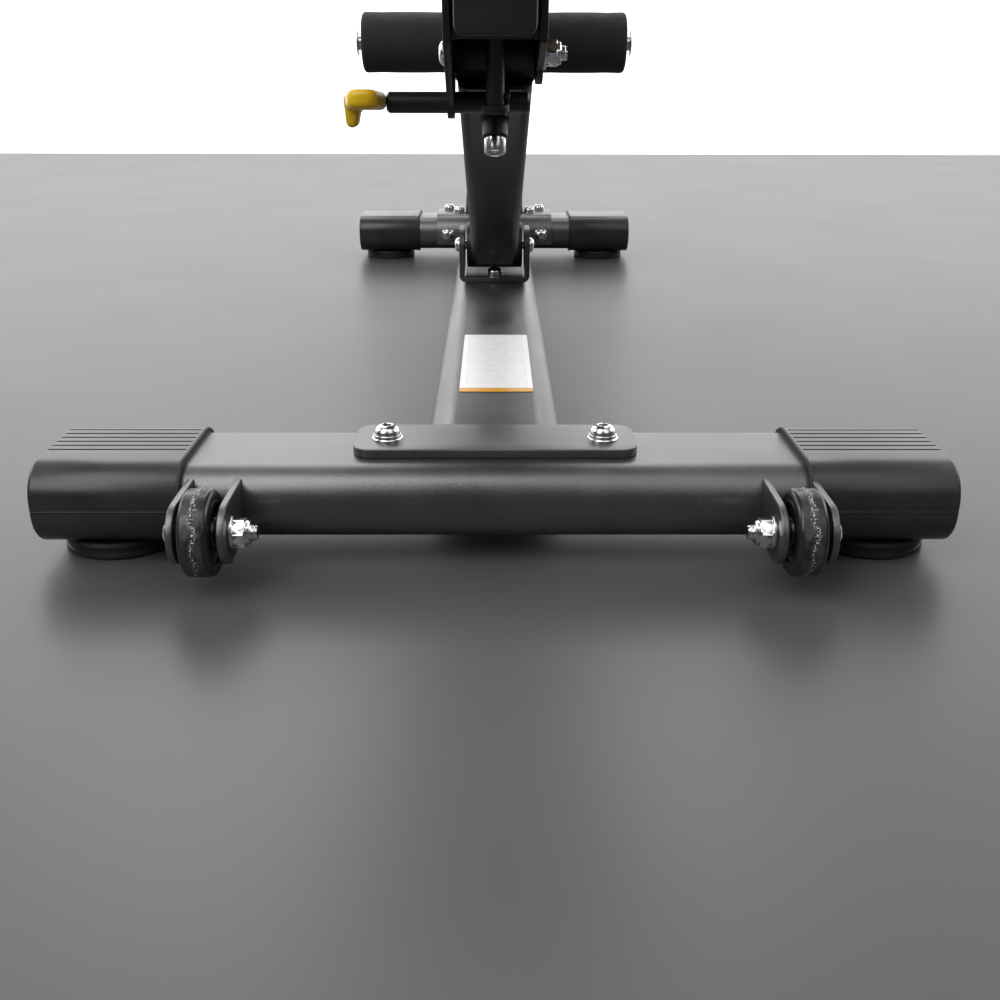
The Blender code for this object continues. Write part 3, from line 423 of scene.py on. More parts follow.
def loose(mesh):
    made = bpy.data.objects.new("loose", mesh)
    scene.collection.objects.link(made)
    return made


def applied(obj):
    """The object's mesh with its modifiers applied; the object is removed."""
    mesh = bpy.data.meshes.new_from_object(obj.evaluated_get(bpy.context.evaluated_depsgraph_get()))
    bpy.data.objects.remove(obj)
    return mesh


def combine(mesh, others, operation="DIFFERENCE"):
    """Boolean of a mesh with (mesh, matrix) tools."""
    target = loose(mesh)
    tools = []
    for other, place in others:
        tool = loose(other)
        tool.matrix_world = place
        tools.append(tool)
        step = target.modifiers.new(operation, "BOOLEAN")
        step.operation, step.object, step.solver = operation, tool, "EXACT"
    bpy.context.view_layer.update()
    result = applied(target)
    for tool in tools:
        bpy.data.objects.remove(tool)
    return result


def fused(mesh, voxel, rounds):
    """Moulded look: remesh overlapping solids into one skin and relax it."""
    target = loose(mesh)
    skin = target.modifiers.new("skin", "REMESH")
    skin.mode, skin.voxel_size = "VOXEL", voxel
    relax = target.modifiers.new("relax", "SMOOTH")
    relax.factor, relax.iterations = 0.5, rounds
    return applied(target)


def bead(points, radius, seed, closed=False):
    """A weld bead: a tube of overlapping ripples along a line."""
    rng = random.Random(seed)
    curve = bpy.data.curves.new("bead", "CURVE")
    curve.dimensions, curve.bevel_depth, curve.bevel_resolution = "3D", radius, 2
    curve.use_fill_caps = True
    points = [Vector(p) for p in points]
    line = []
    for a, b in zip(points, points[1:] + points[:1] if closed else points[1:]):
        count = max(1, round((b - a).length / (radius * 0.55)))
        line += [a.lerp(b, i / count) for i in range(count)]
    if not closed:
        line.append(points[-1])
    spline = curve.splines.new("POLY")
    spline.points.add(len(line) - 1)
    for i, (point, co) in enumerate(zip(spline.points, line)):
        point.co = (*co, 1)
        point.radius = (1.12 if i % 3 == 0 else 0.92) + rng.uniform(-0.07, 0.07)
    spline.use_cyclic_u = closed
    holder = bpy.data.objects.new("bead", curve)
    scene.collection.objects.link(holder)
    mesh = bpy.data.meshes.new_from_object(holder.evaluated_get(bpy.context.evaluated_depsgraph_get()))
    bpy.data.objects.remove(holder)
    return mesh


def put(name, mesh, place, node, look=None, crease=CREASE, stands_for=True):
    """Show a mesh in the place, body and finish of a CAD node."""
    made = bpy.data.objects.new(name, mesh)
    scene.collection.objects.link(made)
    mesh.shade_smooth()
    mesh.set_sharp_from_angle(angle=crease)
    mesh.materials.clear()
    slot = look or SLOT_OF[node]
    mesh.materials.append(LOOKS[slot].material)
    made.matrix_world = place
    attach(made, BODY_OF[node])
    if stands_for:
        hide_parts(node)
    return made


def tube_for(node, place, axis, radius, wall, extra=(), holes=()):
    """Finer tube in the place of a CAD tube, with welded extras and cut holes."""
    lo, hi = span(node, place)
    size, middle = hi - lo, (lo + hi) / 2
    across = {"X": (size.y, size.z), "Y": (size.x, size.z), "Z": (size.x, size.y)}[axis]
    length = size["XYZ".index(axis)]
    mesh = tube(*across, radius, wall, length, axis)
    mesh.transform(Matrix.Translation(middle))
    if holes:
        mesh = combine(mesh, holes)
    return put(node + "_look", merged([(mesh, HERE), *extra]), place, node)


# ---- hardware -----------------------------------------------------------------------
HEAD_R, WASHER_R, SHANK_R = 0.00875, 0.0105, 0.005
NUT_FLAT, NUT_CORNER = 0.0085, 0.0098
SOCKET = 0.0030
HEX = 1.0                     # corner limit of an uncut hexagon


def dome(top, depth):
    """Button-head profile down from its top: hex socket, rounded crown, short side."""
    return [(0.0, top - depth), (SOCKET, top - depth, HEX), (SOCKET, top - 0.0002, HEX),
            (0.0040, top), (0.0058, top - 0.0006), (0.0072, top - 0.0016), (0.0082, top - 0.0031),
            (HEAD_R, top - 0.0048), (HEAD_R, top - 0.0055)]


def cap_screw():
    """Button-head screw on a spring washer and a flat washer; its seat is at z = 0."""
    spring = [(0.0079, 0.0044), (0.0079, 0.0042), (0.0090, 0.0041), (0.0093, 0.0038),
              (0.0093, 0.0023), (0.0090, 0.0020), (0.0084, 0.0019)]
    flat = [(0.0101, 0.0018), (WASHER_R, 0.0014), (WASHER_R, 0.0003), (0.0102, 0.0), (0.0, 0.0)]
    mesh = lathe(dome(0.0100, 0.0038) + spring + flat)
    split = extruded([rounded_rect(0.0040, 0.0006, 0.0002, 2)], 0.0030, "Z", 0.0001)
    lean = at(0.0093, 0, 0.0031) @ Matrix.Rotation(0.5, 4, "X")
    return combine(mesh, [(split, lean)])


def screws():
    lo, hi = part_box("bracket_bolt")
    place = at((lo.x + hi.x) / 2, (lo.y + hi.y) / 2, hi.z - 0.0100)
    put("bracket_bolt_look", cap_screw(), place, "bracket_bolt")
    for side, twist in (("left", 0.4), ("right", 1.9)):
        for node in ("plate_bolt_" + side, "saddle_outer_bolt_" + side, "saddle_inner_bolt_" + side):
            lo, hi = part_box(node)
            place = at((lo.x + hi.x) / 2, (lo.y + hi.y) / 2, hi.z - 0.0100)
            put(node + "_look", cap_screw(), place @ Matrix.Rotation(twist, 4, "Z"), node)
        node = "saddle_face_bolt_" + side
        lo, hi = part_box(node)
        place = at((lo.x + hi.x) / 2, lo.y + 0.0100, (lo.z + hi.z) / 2)
        put(node + "_look", cap_screw(), place @ Matrix.Rotation(math.pi / 2, 4, "X"), node)


def through_bolt(node, place, head_side=-1):
    """Bolt along X with a button head, and a washer, lock nut and thread at the other end."""
    lo, hi = span(node, place)
    length = hi.x - lo.x
    head, seat, tip = -length / 2 + 0.0056, length / 2 - 0.0165, length / 2
    profile = [(p[0], -p[1], *p[2:]) for p in dome(-head + 0.0056, 0.0026)]
    profile += [(SHANK_R, head), (SHANK_R, seat), (0.0102, seat), (WASHER_R, seat + 0.0003),
                (WASHER_R, seat + 0.0015), (0.0102, seat + 0.0018), (0.0088, seat + 0.0018)]
    profile += [(NUT_FLAT, seat + 0.0020, 0.0086), (NUT_FLAT, seat + 0.0027, NUT_CORNER),
                (NUT_FLAT, seat + 0.0090, NUT_CORNER), (NUT_FLAT, seat + 0.0097, 0.0084)]
    profile += [(0.0077, seat + 0.0099), (0.0075, seat + 0.0114), (0.0068, seat + 0.0122),
                (0.0052, seat + 0.0122)]
    z = seat + 0.0122
    while z < tip - 0.0012:
        profile += [(SHANK_R, z + 0.0003), (0.0045, z + 0.0007)]
        z += 0.0008
    profile += [(0.0042, tip), (0.0, tip)]
    mesh = lathe(profile, axis="X")
    middle = at(*((lo + hi) / 2))
    turn = Matrix.Rotation(0.3, 4, "X") @ Matrix.Rotation(math.pi if head_side > 0 else 0.0, 4, "Z")
    put(node + "_look", mesh, place @ middle @ turn, node)


# ---- base -------------------------------------------------------------------------------
TUBE_R, TUBE_WALL = 0.0215, 0.003
GROOVES = [-0.012 + 0.0083 * i for i in range(6)]


def end_cap(node, grooved):
    """Moulded rubber sleeve: rounded end, raised lip, parting line and grip grooves."""
    lo, hi = span(node, ROOT)
    size, middle = hi - lo, (lo + hi) / 2
    inward = -1 if middle.x > 0 else 1
    radius = TUBE_R + 0.0027
    body = extruded([rounded_rect(size.y, size.z, radius, 14)], size.x, "X", 0.0024)
    lip = extruded([rounded_rect(size.y + 0.0018, size.z + 0.0018, radius + 0.0009, 14)], 0.0024, "X", 0.0009)
    seam = extruded([rounded_rect(size.x + 0.0004, size.y + 0.0007, 0.003, 4)], 0.0008, "Z", 0.0003)
    at_lip = at(inward * (size.x / 2 - 0.0013))
    mesh = combine(body, [(seam, at(z=-0.0004))], "UNION")
    if grooved:
        cuts = []
        for y in GROOVES:
            groove = extruded([rounded_rect(size.x - 0.001, 0.0021, 0.0008, 3)], 0.0044, "Z", 0.0004)
            cuts.append((groove, at(-inward * 0.0035, y - middle.y, size.z / 2)))
        mesh = combine(mesh, cuts)
    put(node + "_look", mesh, ROOT @ at(*middle), node)
    hole = rounded_rect(size.y - 0.0054, size.z - 0.0054, radius - 0.0027, 14)
    rim = combine(lip, [(extruded([hole], 0.010, "X", 0.0001), HERE)])
    # Painted shade: the lip takes the darker, matter foot rubber so the cap's open end shows a dark shaded
    # rim.
    put(node + "_lip", rim, ROOT @ at(*middle) @ at_lip, node, "foot_rubber", stands_for=False)


def foot(node):
    lo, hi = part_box(node)
    r, h = (hi.x - lo.x) / 2, hi.z - lo.z
    profile = [(0.0, h), (r - 0.0040, h), (r - 0.0012, h - 0.0010), (r, h - 0.0034), (r - 0.0004, h - 0.0050),
               (r - 0.0012, h - 0.0056), (r - 0.0012, 0.0042), (r - 0.0002, 0.0036), (r - 0.0002, 0.0014),
               (r - 0.0016, 0.0), (r - 0.008, 0.0), (r - 0.009, 0.0012), (0.0, 0.0012)]
    put(node + "_look", lathe(profile, 72), at((lo.x + hi.x) / 2, (lo.y + hi.y) / 2, lo.z), node)


def wheel_set(side):
    hub = Vector(JOINTS["wheel_spin_" + side]["pos_m"])
    node = "wheel_" + side
    lo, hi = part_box(node)
    outer, half, hole = (hi.z - lo.z) / 2, 0.00925, 0.0052
    flank = [(hole, half + 0.0020), (0.0086, half + 0.0020), (0.0092, half + 0.0015),
             (0.0100, half - 0.0014), (0.0112, half - 0.0018), (0.0168, half - 0.0018),
             (0.0180, half - 0.0010), (0.0186, half - 0.0001), (0.0196, half),
             (0.0204, half - 0.0005), (0.0210, half - 0.0001)]
    shoulder = arc(outer - 0.0037, half - 0.0036, 0.0035, 80, 10, 8)
    tread = [(outer - 0.0001, 0.0030), (outer, 0.0014), (outer + 0.0001, 0.0006)]
    profile = mirrored(flank + shoulder + tread, [(outer + 0.0004, 0.0)])
    turn = Matrix.Rotation(math.pi / 2, 4, "Y")
    put(node + "_look", lathe(profile, 96), Matrix.Translation(hub) @ turn, node, crease=math.radians(40))
    through_bolt("wheel_axle_" + side, Matrix.Translation(hub), -1 if side == "left" else 1)

    node = "wheel_bracket_" + side
    lo, hi = span(node, Matrix.Translation(hub))
    thick, round_r, top, low = 0.0045, 0.0195, 0.020, -0.012
    bar_lo, bar_hi = span("rear_crossbar", Matrix.Translation(hub))
    round_y, round_z, reach = bar_lo.y + TUBE_R, bar_hi.z - TUBE_R, TUBE_R + 0.0003
    steepest = 180 - math.degrees(math.asin((top - round_z) / reach))
    hug = arc(round_y, round_z, reach, 180, steepest, 12)
    back = hug[0][0]
    tangent = math.degrees(math.atan2(top, hug[-1][0]) + math.acos(round_r / math.hypot(top, hug[-1][0])))
    ear = [(back, low)] + hug + arc(0, 0, round_r, tangent, 270, 22) + [(0.010, 0.001 - round_r)]
    ear.reverse()
    web_h = 0.018
    web = extruded([rounded_rect(hi.x - lo.x - 0.002, web_h, 0.001, 3)], thick, "Y", 0.0006)
    solids = [(web, at(y=back - thick / 2, z=low + web_h / 2), (lo.x, hi.x))]
    for sx in (-1, 1):
        x = sx * ((hi.x - lo.x) / 2 - thick / 2)
        solids.append((extruded([ear], thick, "X", 0.0008), at(x), (x - thick / 2, x + thick / 2)))
    cap_lo, cap_hi = span("rear_cap_" + side, Matrix.Translation(hub))
    middle, grown = (cap_lo + cap_hi) / 2, cap_hi - cap_lo + Vector((0.0006, 0.0006, 0.0006))
    parts = []
    for mesh, place, (first, last) in solids:
        if cap_lo.x < last and cap_hi.x > first:
            outline = rounded_rect(grown.y, grown.z, TUBE_R + 0.0030, 14)
            sleeve = extruded([outline], grown.x, "X", 0.0001)
            mesh = combine(mesh, [(sleeve, place.inverted() @ at(*middle))])
        parts.append((mesh, place))
    for sx in (-1, 1):
        x = sx * ((hi.x - lo.x) / 2 - thick)
        line = [(x - sx * 0.001, back - thick, low + rise) for rise in (0.002, web_h)]
        parts.append((bead(line, 0.0012, 11 + sx), HERE))
    put(node + "_look", merged(parts), Matrix.Translation(hub), node)


def flat_piece(node, place, radius, edge=0.0006, axis="Z"):
    """Plate with rounded corners in the place of a CAD plate."""
    lo, hi = span(node, place)
    size = hi - lo
    across, thick = {"Z": ((size.x, size.y), size.z), "Y": ((size.x, size.z), size.y)}[axis]
    mesh = merged([(extruded([rounded_rect(*across, radius)], thick, axis, edge), HERE)])
    return put(node + "_look", mesh, place @ at(*((lo + hi) / 2)), node)


def base():
    tube_for("rear_crossbar", ROOT, "X", TUBE_R, TUBE_WALL)
    tube_for("front_crossbar", ROOT, "X", TUBE_R, TUBE_WALL)
    for side in ("left", "right"):
        for end in ("rear", "front"):
            end_cap(f"{end}_cap_{side}", end == "rear")
            foot(f"{end}_foot_{side}")
        wheel_set(side)
    flat_piece("joining_plate", ROOT, 0.012, 0.0007)
    flat_piece("warning_label", ROOT, 0.002, 0.0001)
    tube_for("spine_tube", ROOT, "Y", TUBE_R, TUBE_WALL)
    strut_bracket()
    saddle()
    screws()


def strut_bracket():
    node = "strut_bracket"
    lo, hi = span(node, ROOT)
    half, thick, outer, inner = (hi.x - lo.x) / 2, 0.006, 0.008, 0.003
    b, t = lo.z, hi.z
    deep, within = b + thick + inner, half - thick - inner
    channel = ([(-half, t)] + arc(outer - half, b + outer, outer, 180, 270)
               + arc(half - outer, b + outer, outer, 270, 360) + [(half, t), (half - thick, t)]
               + arc(within, deep, inner, 360, 270) + arc(-within, deep, inner, 270, 180)
               + [(thick - half, t)])
    depth, crown = hi.y - lo.y, 0.020
    ear = ([(lo.y, b - 0.01), (hi.y, b - 0.01)] + arc(hi.y - crown, t - crown, crown, 0, 90)
           + arc(lo.y + crown, t - crown, crown, 90, 180))
    mesh = extruded([channel], depth, "Y", 0.0008)
    mesh.transform(at(y=(lo.y + hi.y) / 2))
    mesh = combine(mesh, [(extruded([ear], 0.1, "X", 0.0001), HERE)], "INTERSECT")
    seam = bead([(-0.027, hi.y, b + 0.0006), (0.027, hi.y, b + 0.0006)], 0.0022, 31)
    put(node + "_look", merged([(mesh, HERE), (seam, HERE)]), ROOT, node)
    lo, hi = span("strut_pivot_bolt", ROOT)
    half = (hi.x - lo.x) / 2
    pin = lathe(mirrored(dome(half, 0.0026) + [(SHANK_R, half - 0.0056)]), axis="X")
    put("strut_pivot_bolt_look", pin, ROOT @ at(*((lo + hi) / 2)), "strut_pivot_bolt")


SADDLE_EAR_IN = 0.0405


def saddle():
    node = "saddle"
    lo, hi = span(node, ROOT)
    mid_y, thick, gap = (lo.y + hi.y) / 2, 0.006, 0.0003
    out_h, in_h = (hi.y - lo.y) / 2, (hi.y - lo.y) / 2 - thick
    in_top = span("front_crossbar", ROOT)[1].z + gap
    out_top, out_r, in_r = in_top + thick, TUBE_R + thick, TUBE_R + gap
    arch = ([(-out_h, lo.z)] + arc(out_r - out_h, out_top - out_r, out_r, 180, 90)
            + arc(out_h - out_r, out_top - out_r, out_r, 90, 0)
            + [(out_h, lo.z), (in_h, lo.z)] + arc(in_h - in_r, in_top - in_r, in_r, 0, 90)
            + arc(in_r - in_h, in_top - in_r, in_r, 90, 180) + [(-in_h, lo.z)])
    arch.reverse()
    parts = [(extruded([arch], hi.x - lo.x, "X", 0.0008), at(y=mid_y))]
    half, rise = 0.025, 0.012
    ear = ([(-half, -0.004), (half, -0.004), (half, rise)] + arc(0, rise, 0.018, 20, 160)
           + [(-half, rise)])
    for sx in (-1, 1):
        x = sx * (SADDLE_EAR_IN + thick / 2)
        parts.append((extruded([ear], thick, "X", 0.0008), at(x, mid_y, out_top)))
        line = [(sx * (SADDLE_EAR_IN + thick), mid_y + y, out_top) for y in (-0.024, 0.024)]
        parts.append((bead(line, 0.0020, 41 + sx), HERE))
    put(node + "_look", merged(parts), ROOT, node)


def upright():
    tube_for("upright", ROOT, "Z", 0.010, 0.003)
    node = "upright_head"
    lo, hi = span(node, ROOT)
    pivot = Vector(JOINTS["pad_tilt"]["pos_m"])
    y, z, r, thick = pivot.y - REAR_Y, pivot.z, hi.z - pivot.z, 0.006
    half = (hi.y - lo.y) / 2
    ear = [(y - half, lo.z + 0.002), (y + half, lo.z + 0.002)] + arc(y, z, r, 0, 180, 20)
    plate = extruded([rounded_rect(hi.x - lo.x, hi.y - lo.y, 0.009)], thick, "Z", 0.0007)
    parts = [(plate, at(y=y, z=lo.z + thick / 2))]
    inside = 0.0556 / 2
    for sx in (-1, 1):
        parts.append((extruded([ear], thick, "X", 0.0008), at(sx * (inside + thick / 2))))
        x = sx * (inside + thick)
        line = [(x, y - half + 0.002, lo.z + thick), (x, y + half - 0.002, lo.z + thick)]
        parts.append((bead(line, 0.0020, 51 + sx), HERE))
    put(node + "_look", merged(parts), ROOT, node)
    through_bolt("pad_pivot_bolt", ROOT)


# ---- strut, carriage and release lever -----------------------------------------------------
STRUT_W, STRUT_H = 0.052, 0.050
BOSS_R, SLEEVE_R = 0.018, 0.026


def strut():
    length = (Vector(JOINTS["carriage_pivot"]["pos_m"]) - Vector(JOINTS["strut_tilt"]["pos_m"])).length
    lo, hi = span("strut_tube", STRUT)
    body = tube(STRUT_W, STRUT_H, 0.008, 0.003, length, "Y")
    parts = [(body, at(y=-length / 2))]
    for y, radius, width in ((0, SLEEVE_R, hi.x - lo.x), (-length, BOSS_R, 0.054)):
        edge = 0.0012
        boss = [(0.0, width / 2), (radius - edge, width / 2), (radius - 0.0003, width / 2 - 0.0004),
                (radius, width / 2 - edge)]
        parts.append((lathe(mirrored(boss), 72, "X"), at(y=y)))
    pin_lo, pin_hi = span("plunger_pin", STRUT)
    seat_y, face = (pin_lo.y + pin_hi.y) / 2, -STRUT_H / 2
    seat = [(0.0, face + 0.002), (0.0093, face + 0.002), (0.0093, lo.z + 0.0012),
            (0.0081, lo.z), (0.0, lo.z)]
    parts.append((lathe(seat), at(y=seat_y)))
    ring = [(x, seat_y + y, face) for x, y in arc(0, 0, 0.0096, 0, 345, 23)]
    parts.append((bead(ring, 0.0013, 61, True), HERE))
    put("strut_tube_look", merged(parts), STRUT, "strut_tube")
    top, end = pin_hi.z, pin_lo.z
    pin = [(0.0, top), (0.0040, top), (0.0052, top - 0.0025), (0.0052, end + 0.0109), (0.0074, end + 0.0109),
           (0.0079, end + 0.0104), (0.0079, end + 0.0012), (0.0074, end + 0.0003), (0.0066, end),
           (0.0058, end + 0.0003), (0.0052, end + 0.0012), (0.0050, end + 0.0040), (0.0, end + 0.0040)]
    put("plunger_pin_look", lathe(pin, 48), STRUT @ at(y=seat_y), "plunger_pin")


def carriage():
    node = "carriage"
    lo, hi = span(node, CARRIAGE)
    shaft = CARRIAGE.inverted() @ Vector(JOINTS["lever_pull"]["pos_m"])
    top, cheek_x, thick, low = hi.z, 0.030, 0.005, 0.020
    upper = [(hi.y, top - 0.004)] + arc(hi.y - 0.004, top - 0.004, 0.004, 0, 90, 5)
    upper += arc(lo.y + 0.004, top - 0.004, 0.004, 90, 180, 5) + [(lo.y, 0.022)]
    lobe = arc(0, 0, low, 300, 360) + [(hi.y, 0.022)]
    shapes = {-1: upper + arc(shaft.y, shaft.z, 0.0105, 180, 290) + lobe,
              1: upper + arc(0, 0, low, 200, 290) + lobe}
    parts = [(extruded([outline], thick, "X", 0.0008), at(side * cheek_x))
             for side, outline in shapes.items()]
    floor = extruded([rounded_rect(2 * cheek_x, 0.112, 0.003, 4)], thick, "Z", 0.0007)
    rail_lo = span("pad_rail", PAD)[0]
    drop = (CARRIAGE.inverted() @ (PAD @ Vector((0, 0, rail_lo.z)))).z
    parts.append((floor, at(y=(lo.y + hi.y) / 2, z=drop - 0.005)))
    for sx in (-1, 1):
        line = [(sx * (cheek_x - thick / 2), y, drop - 0.0075) for y in (lo.y + 0.006, hi.y - 0.006)]
        parts.append((bead(line, 0.0016, 71 + sx), HERE))
    put(node + "_look", merged(parts), CARRIAGE, node)
    through_bolt("carriage_bolt", CARRIAGE)
    lo, hi = span("lock_pin", CARRIAGE)
    radius, collar = 0.006, 0.0095
    pin = [(0.0, hi.z), (0.0042, hi.z), (radius, hi.z - 0.0025), (radius, lo.z + 0.005),
           (0.0088, lo.z + 0.005), (collar, lo.z + 0.0043), (collar, lo.z + 0.0007), (0.0088, lo.z),
           (0.0, lo.z)]
    put("lock_pin_look", lathe(pin), CARRIAGE @ at(y=(lo.y + hi.y) / 2), "lock_pin")


def lever():
    lo, hi = span("release_shaft", LEVER)
    r, edge, left, right = 0.007, 0.0018, lo.x, hi.x
    rod = [(0.0, right), (r - edge, right), (r, right - edge), (r, left + edge), (r - edge, left),
           (0.0, left)]
    finger = arc(-0.0225, 0.0090, 0.0027, 90, 270, 8) + arc(0, 0, r + 0.0015, 150, 450, 24)
    lean = CARRIAGE.to_3x3().to_4x4()
    parts = [(lathe(rod, 40, "X"), HERE),
             (extruded([finger], 0.003, "X", 0.0005), at(0.0081) @ lean)]
    put("release_shaft_look", merged(parts), LEVER, "release_shaft")
    plan = (arc(left - 0.0065, 0.005, 0.006, 0, 90, 6) + arc(-0.0960, 0.004, 0.007, 90, 180, 6)
            + arc(-0.0870, -0.056, 0.007, 190, 270, 6) + arc(left - 0.0085, -0.055, 0.008, 270, 360, 6))
    hook = ([(-0.1030, 0.004), (-0.1020, -0.008)] + arc(-0.0975, -0.0120, 0.0042, 190, 330, 12)
            + [(-0.0915, -0.004), (-0.0900, 0.004)])
    droop = Matrix.Rotation(math.radians(-3), 4, "X")
    blade = (extruded([plan], 0.012, "Z", 0.0040), at(z=0.001) @ droop)
    grip = merged([blade, (extruded([hook], 0.018, "Y", 0.0022), HERE)])
    put("release_handle_look", fused(grip, 0.0008, 8), LEVER, "release_handle", crease=math.pi)


# ---- pad -----------------------------------------------------------------------------------
def pad_frame():
    lo, hi = span("pad_rail", PAD)
    pin_lo, pin_hi = span("lock_pin", PAD)
    margin, pitch, notch_r = 0.012, 0.038, 0.0085
    start = (pin_lo.y + pin_hi.y) / 2 - margin
    slot_w, slot_l, depth = 0.0135, 0.215, 0.012
    slot = extruded([rounded_rect(slot_w, slot_l, 0.006)], depth, "Z", 0.0001)
    cuts = [(slot, at(y=start + slot_l / 2, z=lo.z))]
    for i in range(5):
        notch = lathe(mirrored([(0.0, depth / 2), (notch_r, depth / 2)]), 32)
        cuts.append((notch, at(y=start + margin + i * pitch, z=lo.z)))
    rail = tube(0.050, hi.z - lo.z, 0.006, 0.003, hi.y - lo.y, "Y")
    rail.transform(at(y=(lo.y + hi.y) / 2))
    rail = combine(rail, cuts)
    boss = lathe(mirrored([(0.0, 0.0274), (0.0172, 0.0274), (0.018, 0.0266)]), 48, "X")
    put("pad_rail_look", merged([(rail, HERE), (boss, HERE)]), PAD, "pad_rail")
    flat_piece("rail_end_cap", PAD, 0.006, 0.0015, "Y")
    for end in ("front", "rear"):
        flat_piece("pad_support_" + end, PAD, 0.012)
    flat_piece("pad_board", PAD, 0.030, 0.0006)


PAD_INSET, PAD_CAP, PAD_VOXEL = 0.006, 0.010, 0.006


def inflated(mesh, voxel, cap):
    """Swell a closed form under cloth pressure, its underside held flat."""
    obj = loose(mesh)
    skin = obj.modifiers.new("skin", "REMESH")
    skin.mode, skin.voxel_size = "VOXEL", voxel
    mesh = applied(obj)
    obj = loose(mesh)
    rest = [v.co.copy() for v in mesh.vertices]
    floor = min(co.z for co in rest)
    held = obj.vertex_groups.new(name="held")
    held.add([i for i, co in enumerate(rest) if co.z < floor + 0.004], 1.0, "REPLACE")
    cloth = obj.modifiers.new("cloth", "CLOTH")
    cloth.settings.quality = 5
    cloth.settings.use_pressure = True
    cloth.settings.uniform_pressure_force = 2.5
    cloth.settings.vertex_group_mass = "held"
    cloth.settings.effector_weights.gravity = 0.0
    cloth.collision_settings.use_collision = False
    for i in range(1, 21):
        scene.frame_set(i)
    swollen = bpy.data.meshes.new_from_object(obj.evaluated_get(bpy.context.evaluated_depsgraph_get()))
    obj.modifiers.clear()
    scene.frame_set(1)
    for vertex, start, end in zip(obj.data.vertices, rest, swollen.vertices):
        move = end.co - start
        if move.length > cap:
            move *= cap / move.length
        vertex.co = start + move
    finer = obj.modifiers.new("finer", "SUBSURF")
    finer.levels = finer.render_levels = 1
    return applied(obj)


def surface_line(tree, outline, height, outward, drop):
    """Points where rays towards a flat outline meet the cushion's skin."""
    points = []
    for x, y in outline:
        flat = Vector((x, y, 0)) - Vector((0, max(-0.4, min(0.4, y)), 0))
        direction = (-flat.normalized() * outward + Vector((0, 0, -drop))).normalized()
        start = Vector((x, y, height)) - direction * 0.08
        hit = tree.ray_cast(start, direction)[0]
        if hit:
            points.append(hit)
    return points


def cord_mesh(points, radius, closed=True):
    """A smooth round cord through the points."""
    curve = bpy.data.curves.new("piping", "CURVE")
    curve.dimensions, curve.bevel_depth, curve.bevel_resolution = "3D", radius, 2
    spline = curve.splines.new("POLY")
    spline.points.add(len(points) - 1)
    for point, co in zip(spline.points, points):
        point.co = (*co, 1)
    spline.use_cyclic_u = closed
    holder = bpy.data.objects.new("piping", curve)
    scene.collection.objects.link(holder)
    mesh = bpy.data.meshes.new_from_object(holder.evaluated_get(bpy.context.evaluated_depsgraph_get()))
    bpy.data.objects.remove(holder)
    return mesh


def even(points, step):
    """A closed line resampled at even steps, with the direction at each point."""
    lengths = [(b - a).length for a, b in zip(points, points[1:] + points[:1])]
    total, found, walked, goal = sum(lengths), [], 0.0, 0.0
    pitch = total / round(total / step)
    for a, b, length in zip(points, points[1:] + points[:1], lengths):
        while goal <= walked + length and goal < total - pitch / 2:
            found.append((a.lerp(b, (goal - walked) / length), (b - a).normalized()))
            goal += pitch
        walked += length
    return found


def spaced(outline):
    """A flat closed outline with a point every 6 mm."""
    return [(p.x, p.y) for p, _ in even([Vector((x, y, 0)) for x, y in outline], 0.006)]


def cushion():
    node = "pad_cushion"
    lo, hi = span(node, PAD)
    size, middle = hi - lo, (lo + hi) / 2
    block = rounded_rect(size.x - 2 * PAD_INSET, size.y - 2 * PAD_INSET, 0.032, 12)
    start = extruded([block], size.z - 0.008, "Z", 0.011)
    start.transform(at(z=-0.004))
    body = inflated(start, PAD_VOXEL, PAD_CAP)
    corners = [v.co.copy() for v in body.vertices]
    tree = BVHTree.FromPolygons(corners, [list(p.vertices) for p in body.polygons])
    pad = put("pad_cushion_look", body, PAD @ at(*middle), node, crease=math.pi)
    for height, inset, radius, outward, drop in ((size.z / 2 - 0.004, 0.004, 0.0022, 1.0, 1.0),
                                                 (0.004 - size.z / 2, 0.003, 0.0019, 1.0, -0.6)):
        outline = rounded_rect(size.x - 2 * inset, size.y - 2 * inset, 0.036, 16)
        line = surface_line(tree, spaced(outline), height, outward, drop)
        piping = cord_mesh(line, radius)
        name = "pad_piping_top" if height > 0 else "pad_piping_bottom"
        put(name, piping, PAD @ at(*middle), node, stands_for=False, crease=math.pi)
    inner = rounded_rect(size.x - 0.032, size.y - 0.032, 0.026, 16)
    line = surface_line(tree, spaced(inner), size.z, 0.0, 1.0)
    thread = lathe(mirrored([(0.0, 0.0024), (0.00035, 0.0022), (0.0005, 0.0014)]), 6)
    stitches = []
    for place, along in even(line, 0.0068):
        turn = Vector(along).to_track_quat("Z", "Y").to_matrix().to_4x4()
        stitches.append((thread.copy(), Matrix.Translation(place) @ turn))
    put("pad_stitches", merged(stitches), PAD @ at(*middle), node, "black_plastic",
        stands_for=False, crease=math.pi)


# ---- leg hold --------------------------------------------------------------------------------
def bar(node, place):
    """Roller bar with its rounded plastic end buttons."""
    lo, hi = span(node, place)
    half, r, rim = (hi.x - lo.x) / 2 - 0.005, 0.0125, 0.022
    end = [(0.0, half + 0.0050), (0.0120, half + 0.0047), (0.0175, half + 0.0038), (0.0208, half + 0.0024),
           (rim, half + 0.0008), (rim - 0.0004, half), (r, half)]
    put(node + "_look", lathe(mirrored(end), 64, "X"), place @ at(*((lo + hi) / 2)), node)


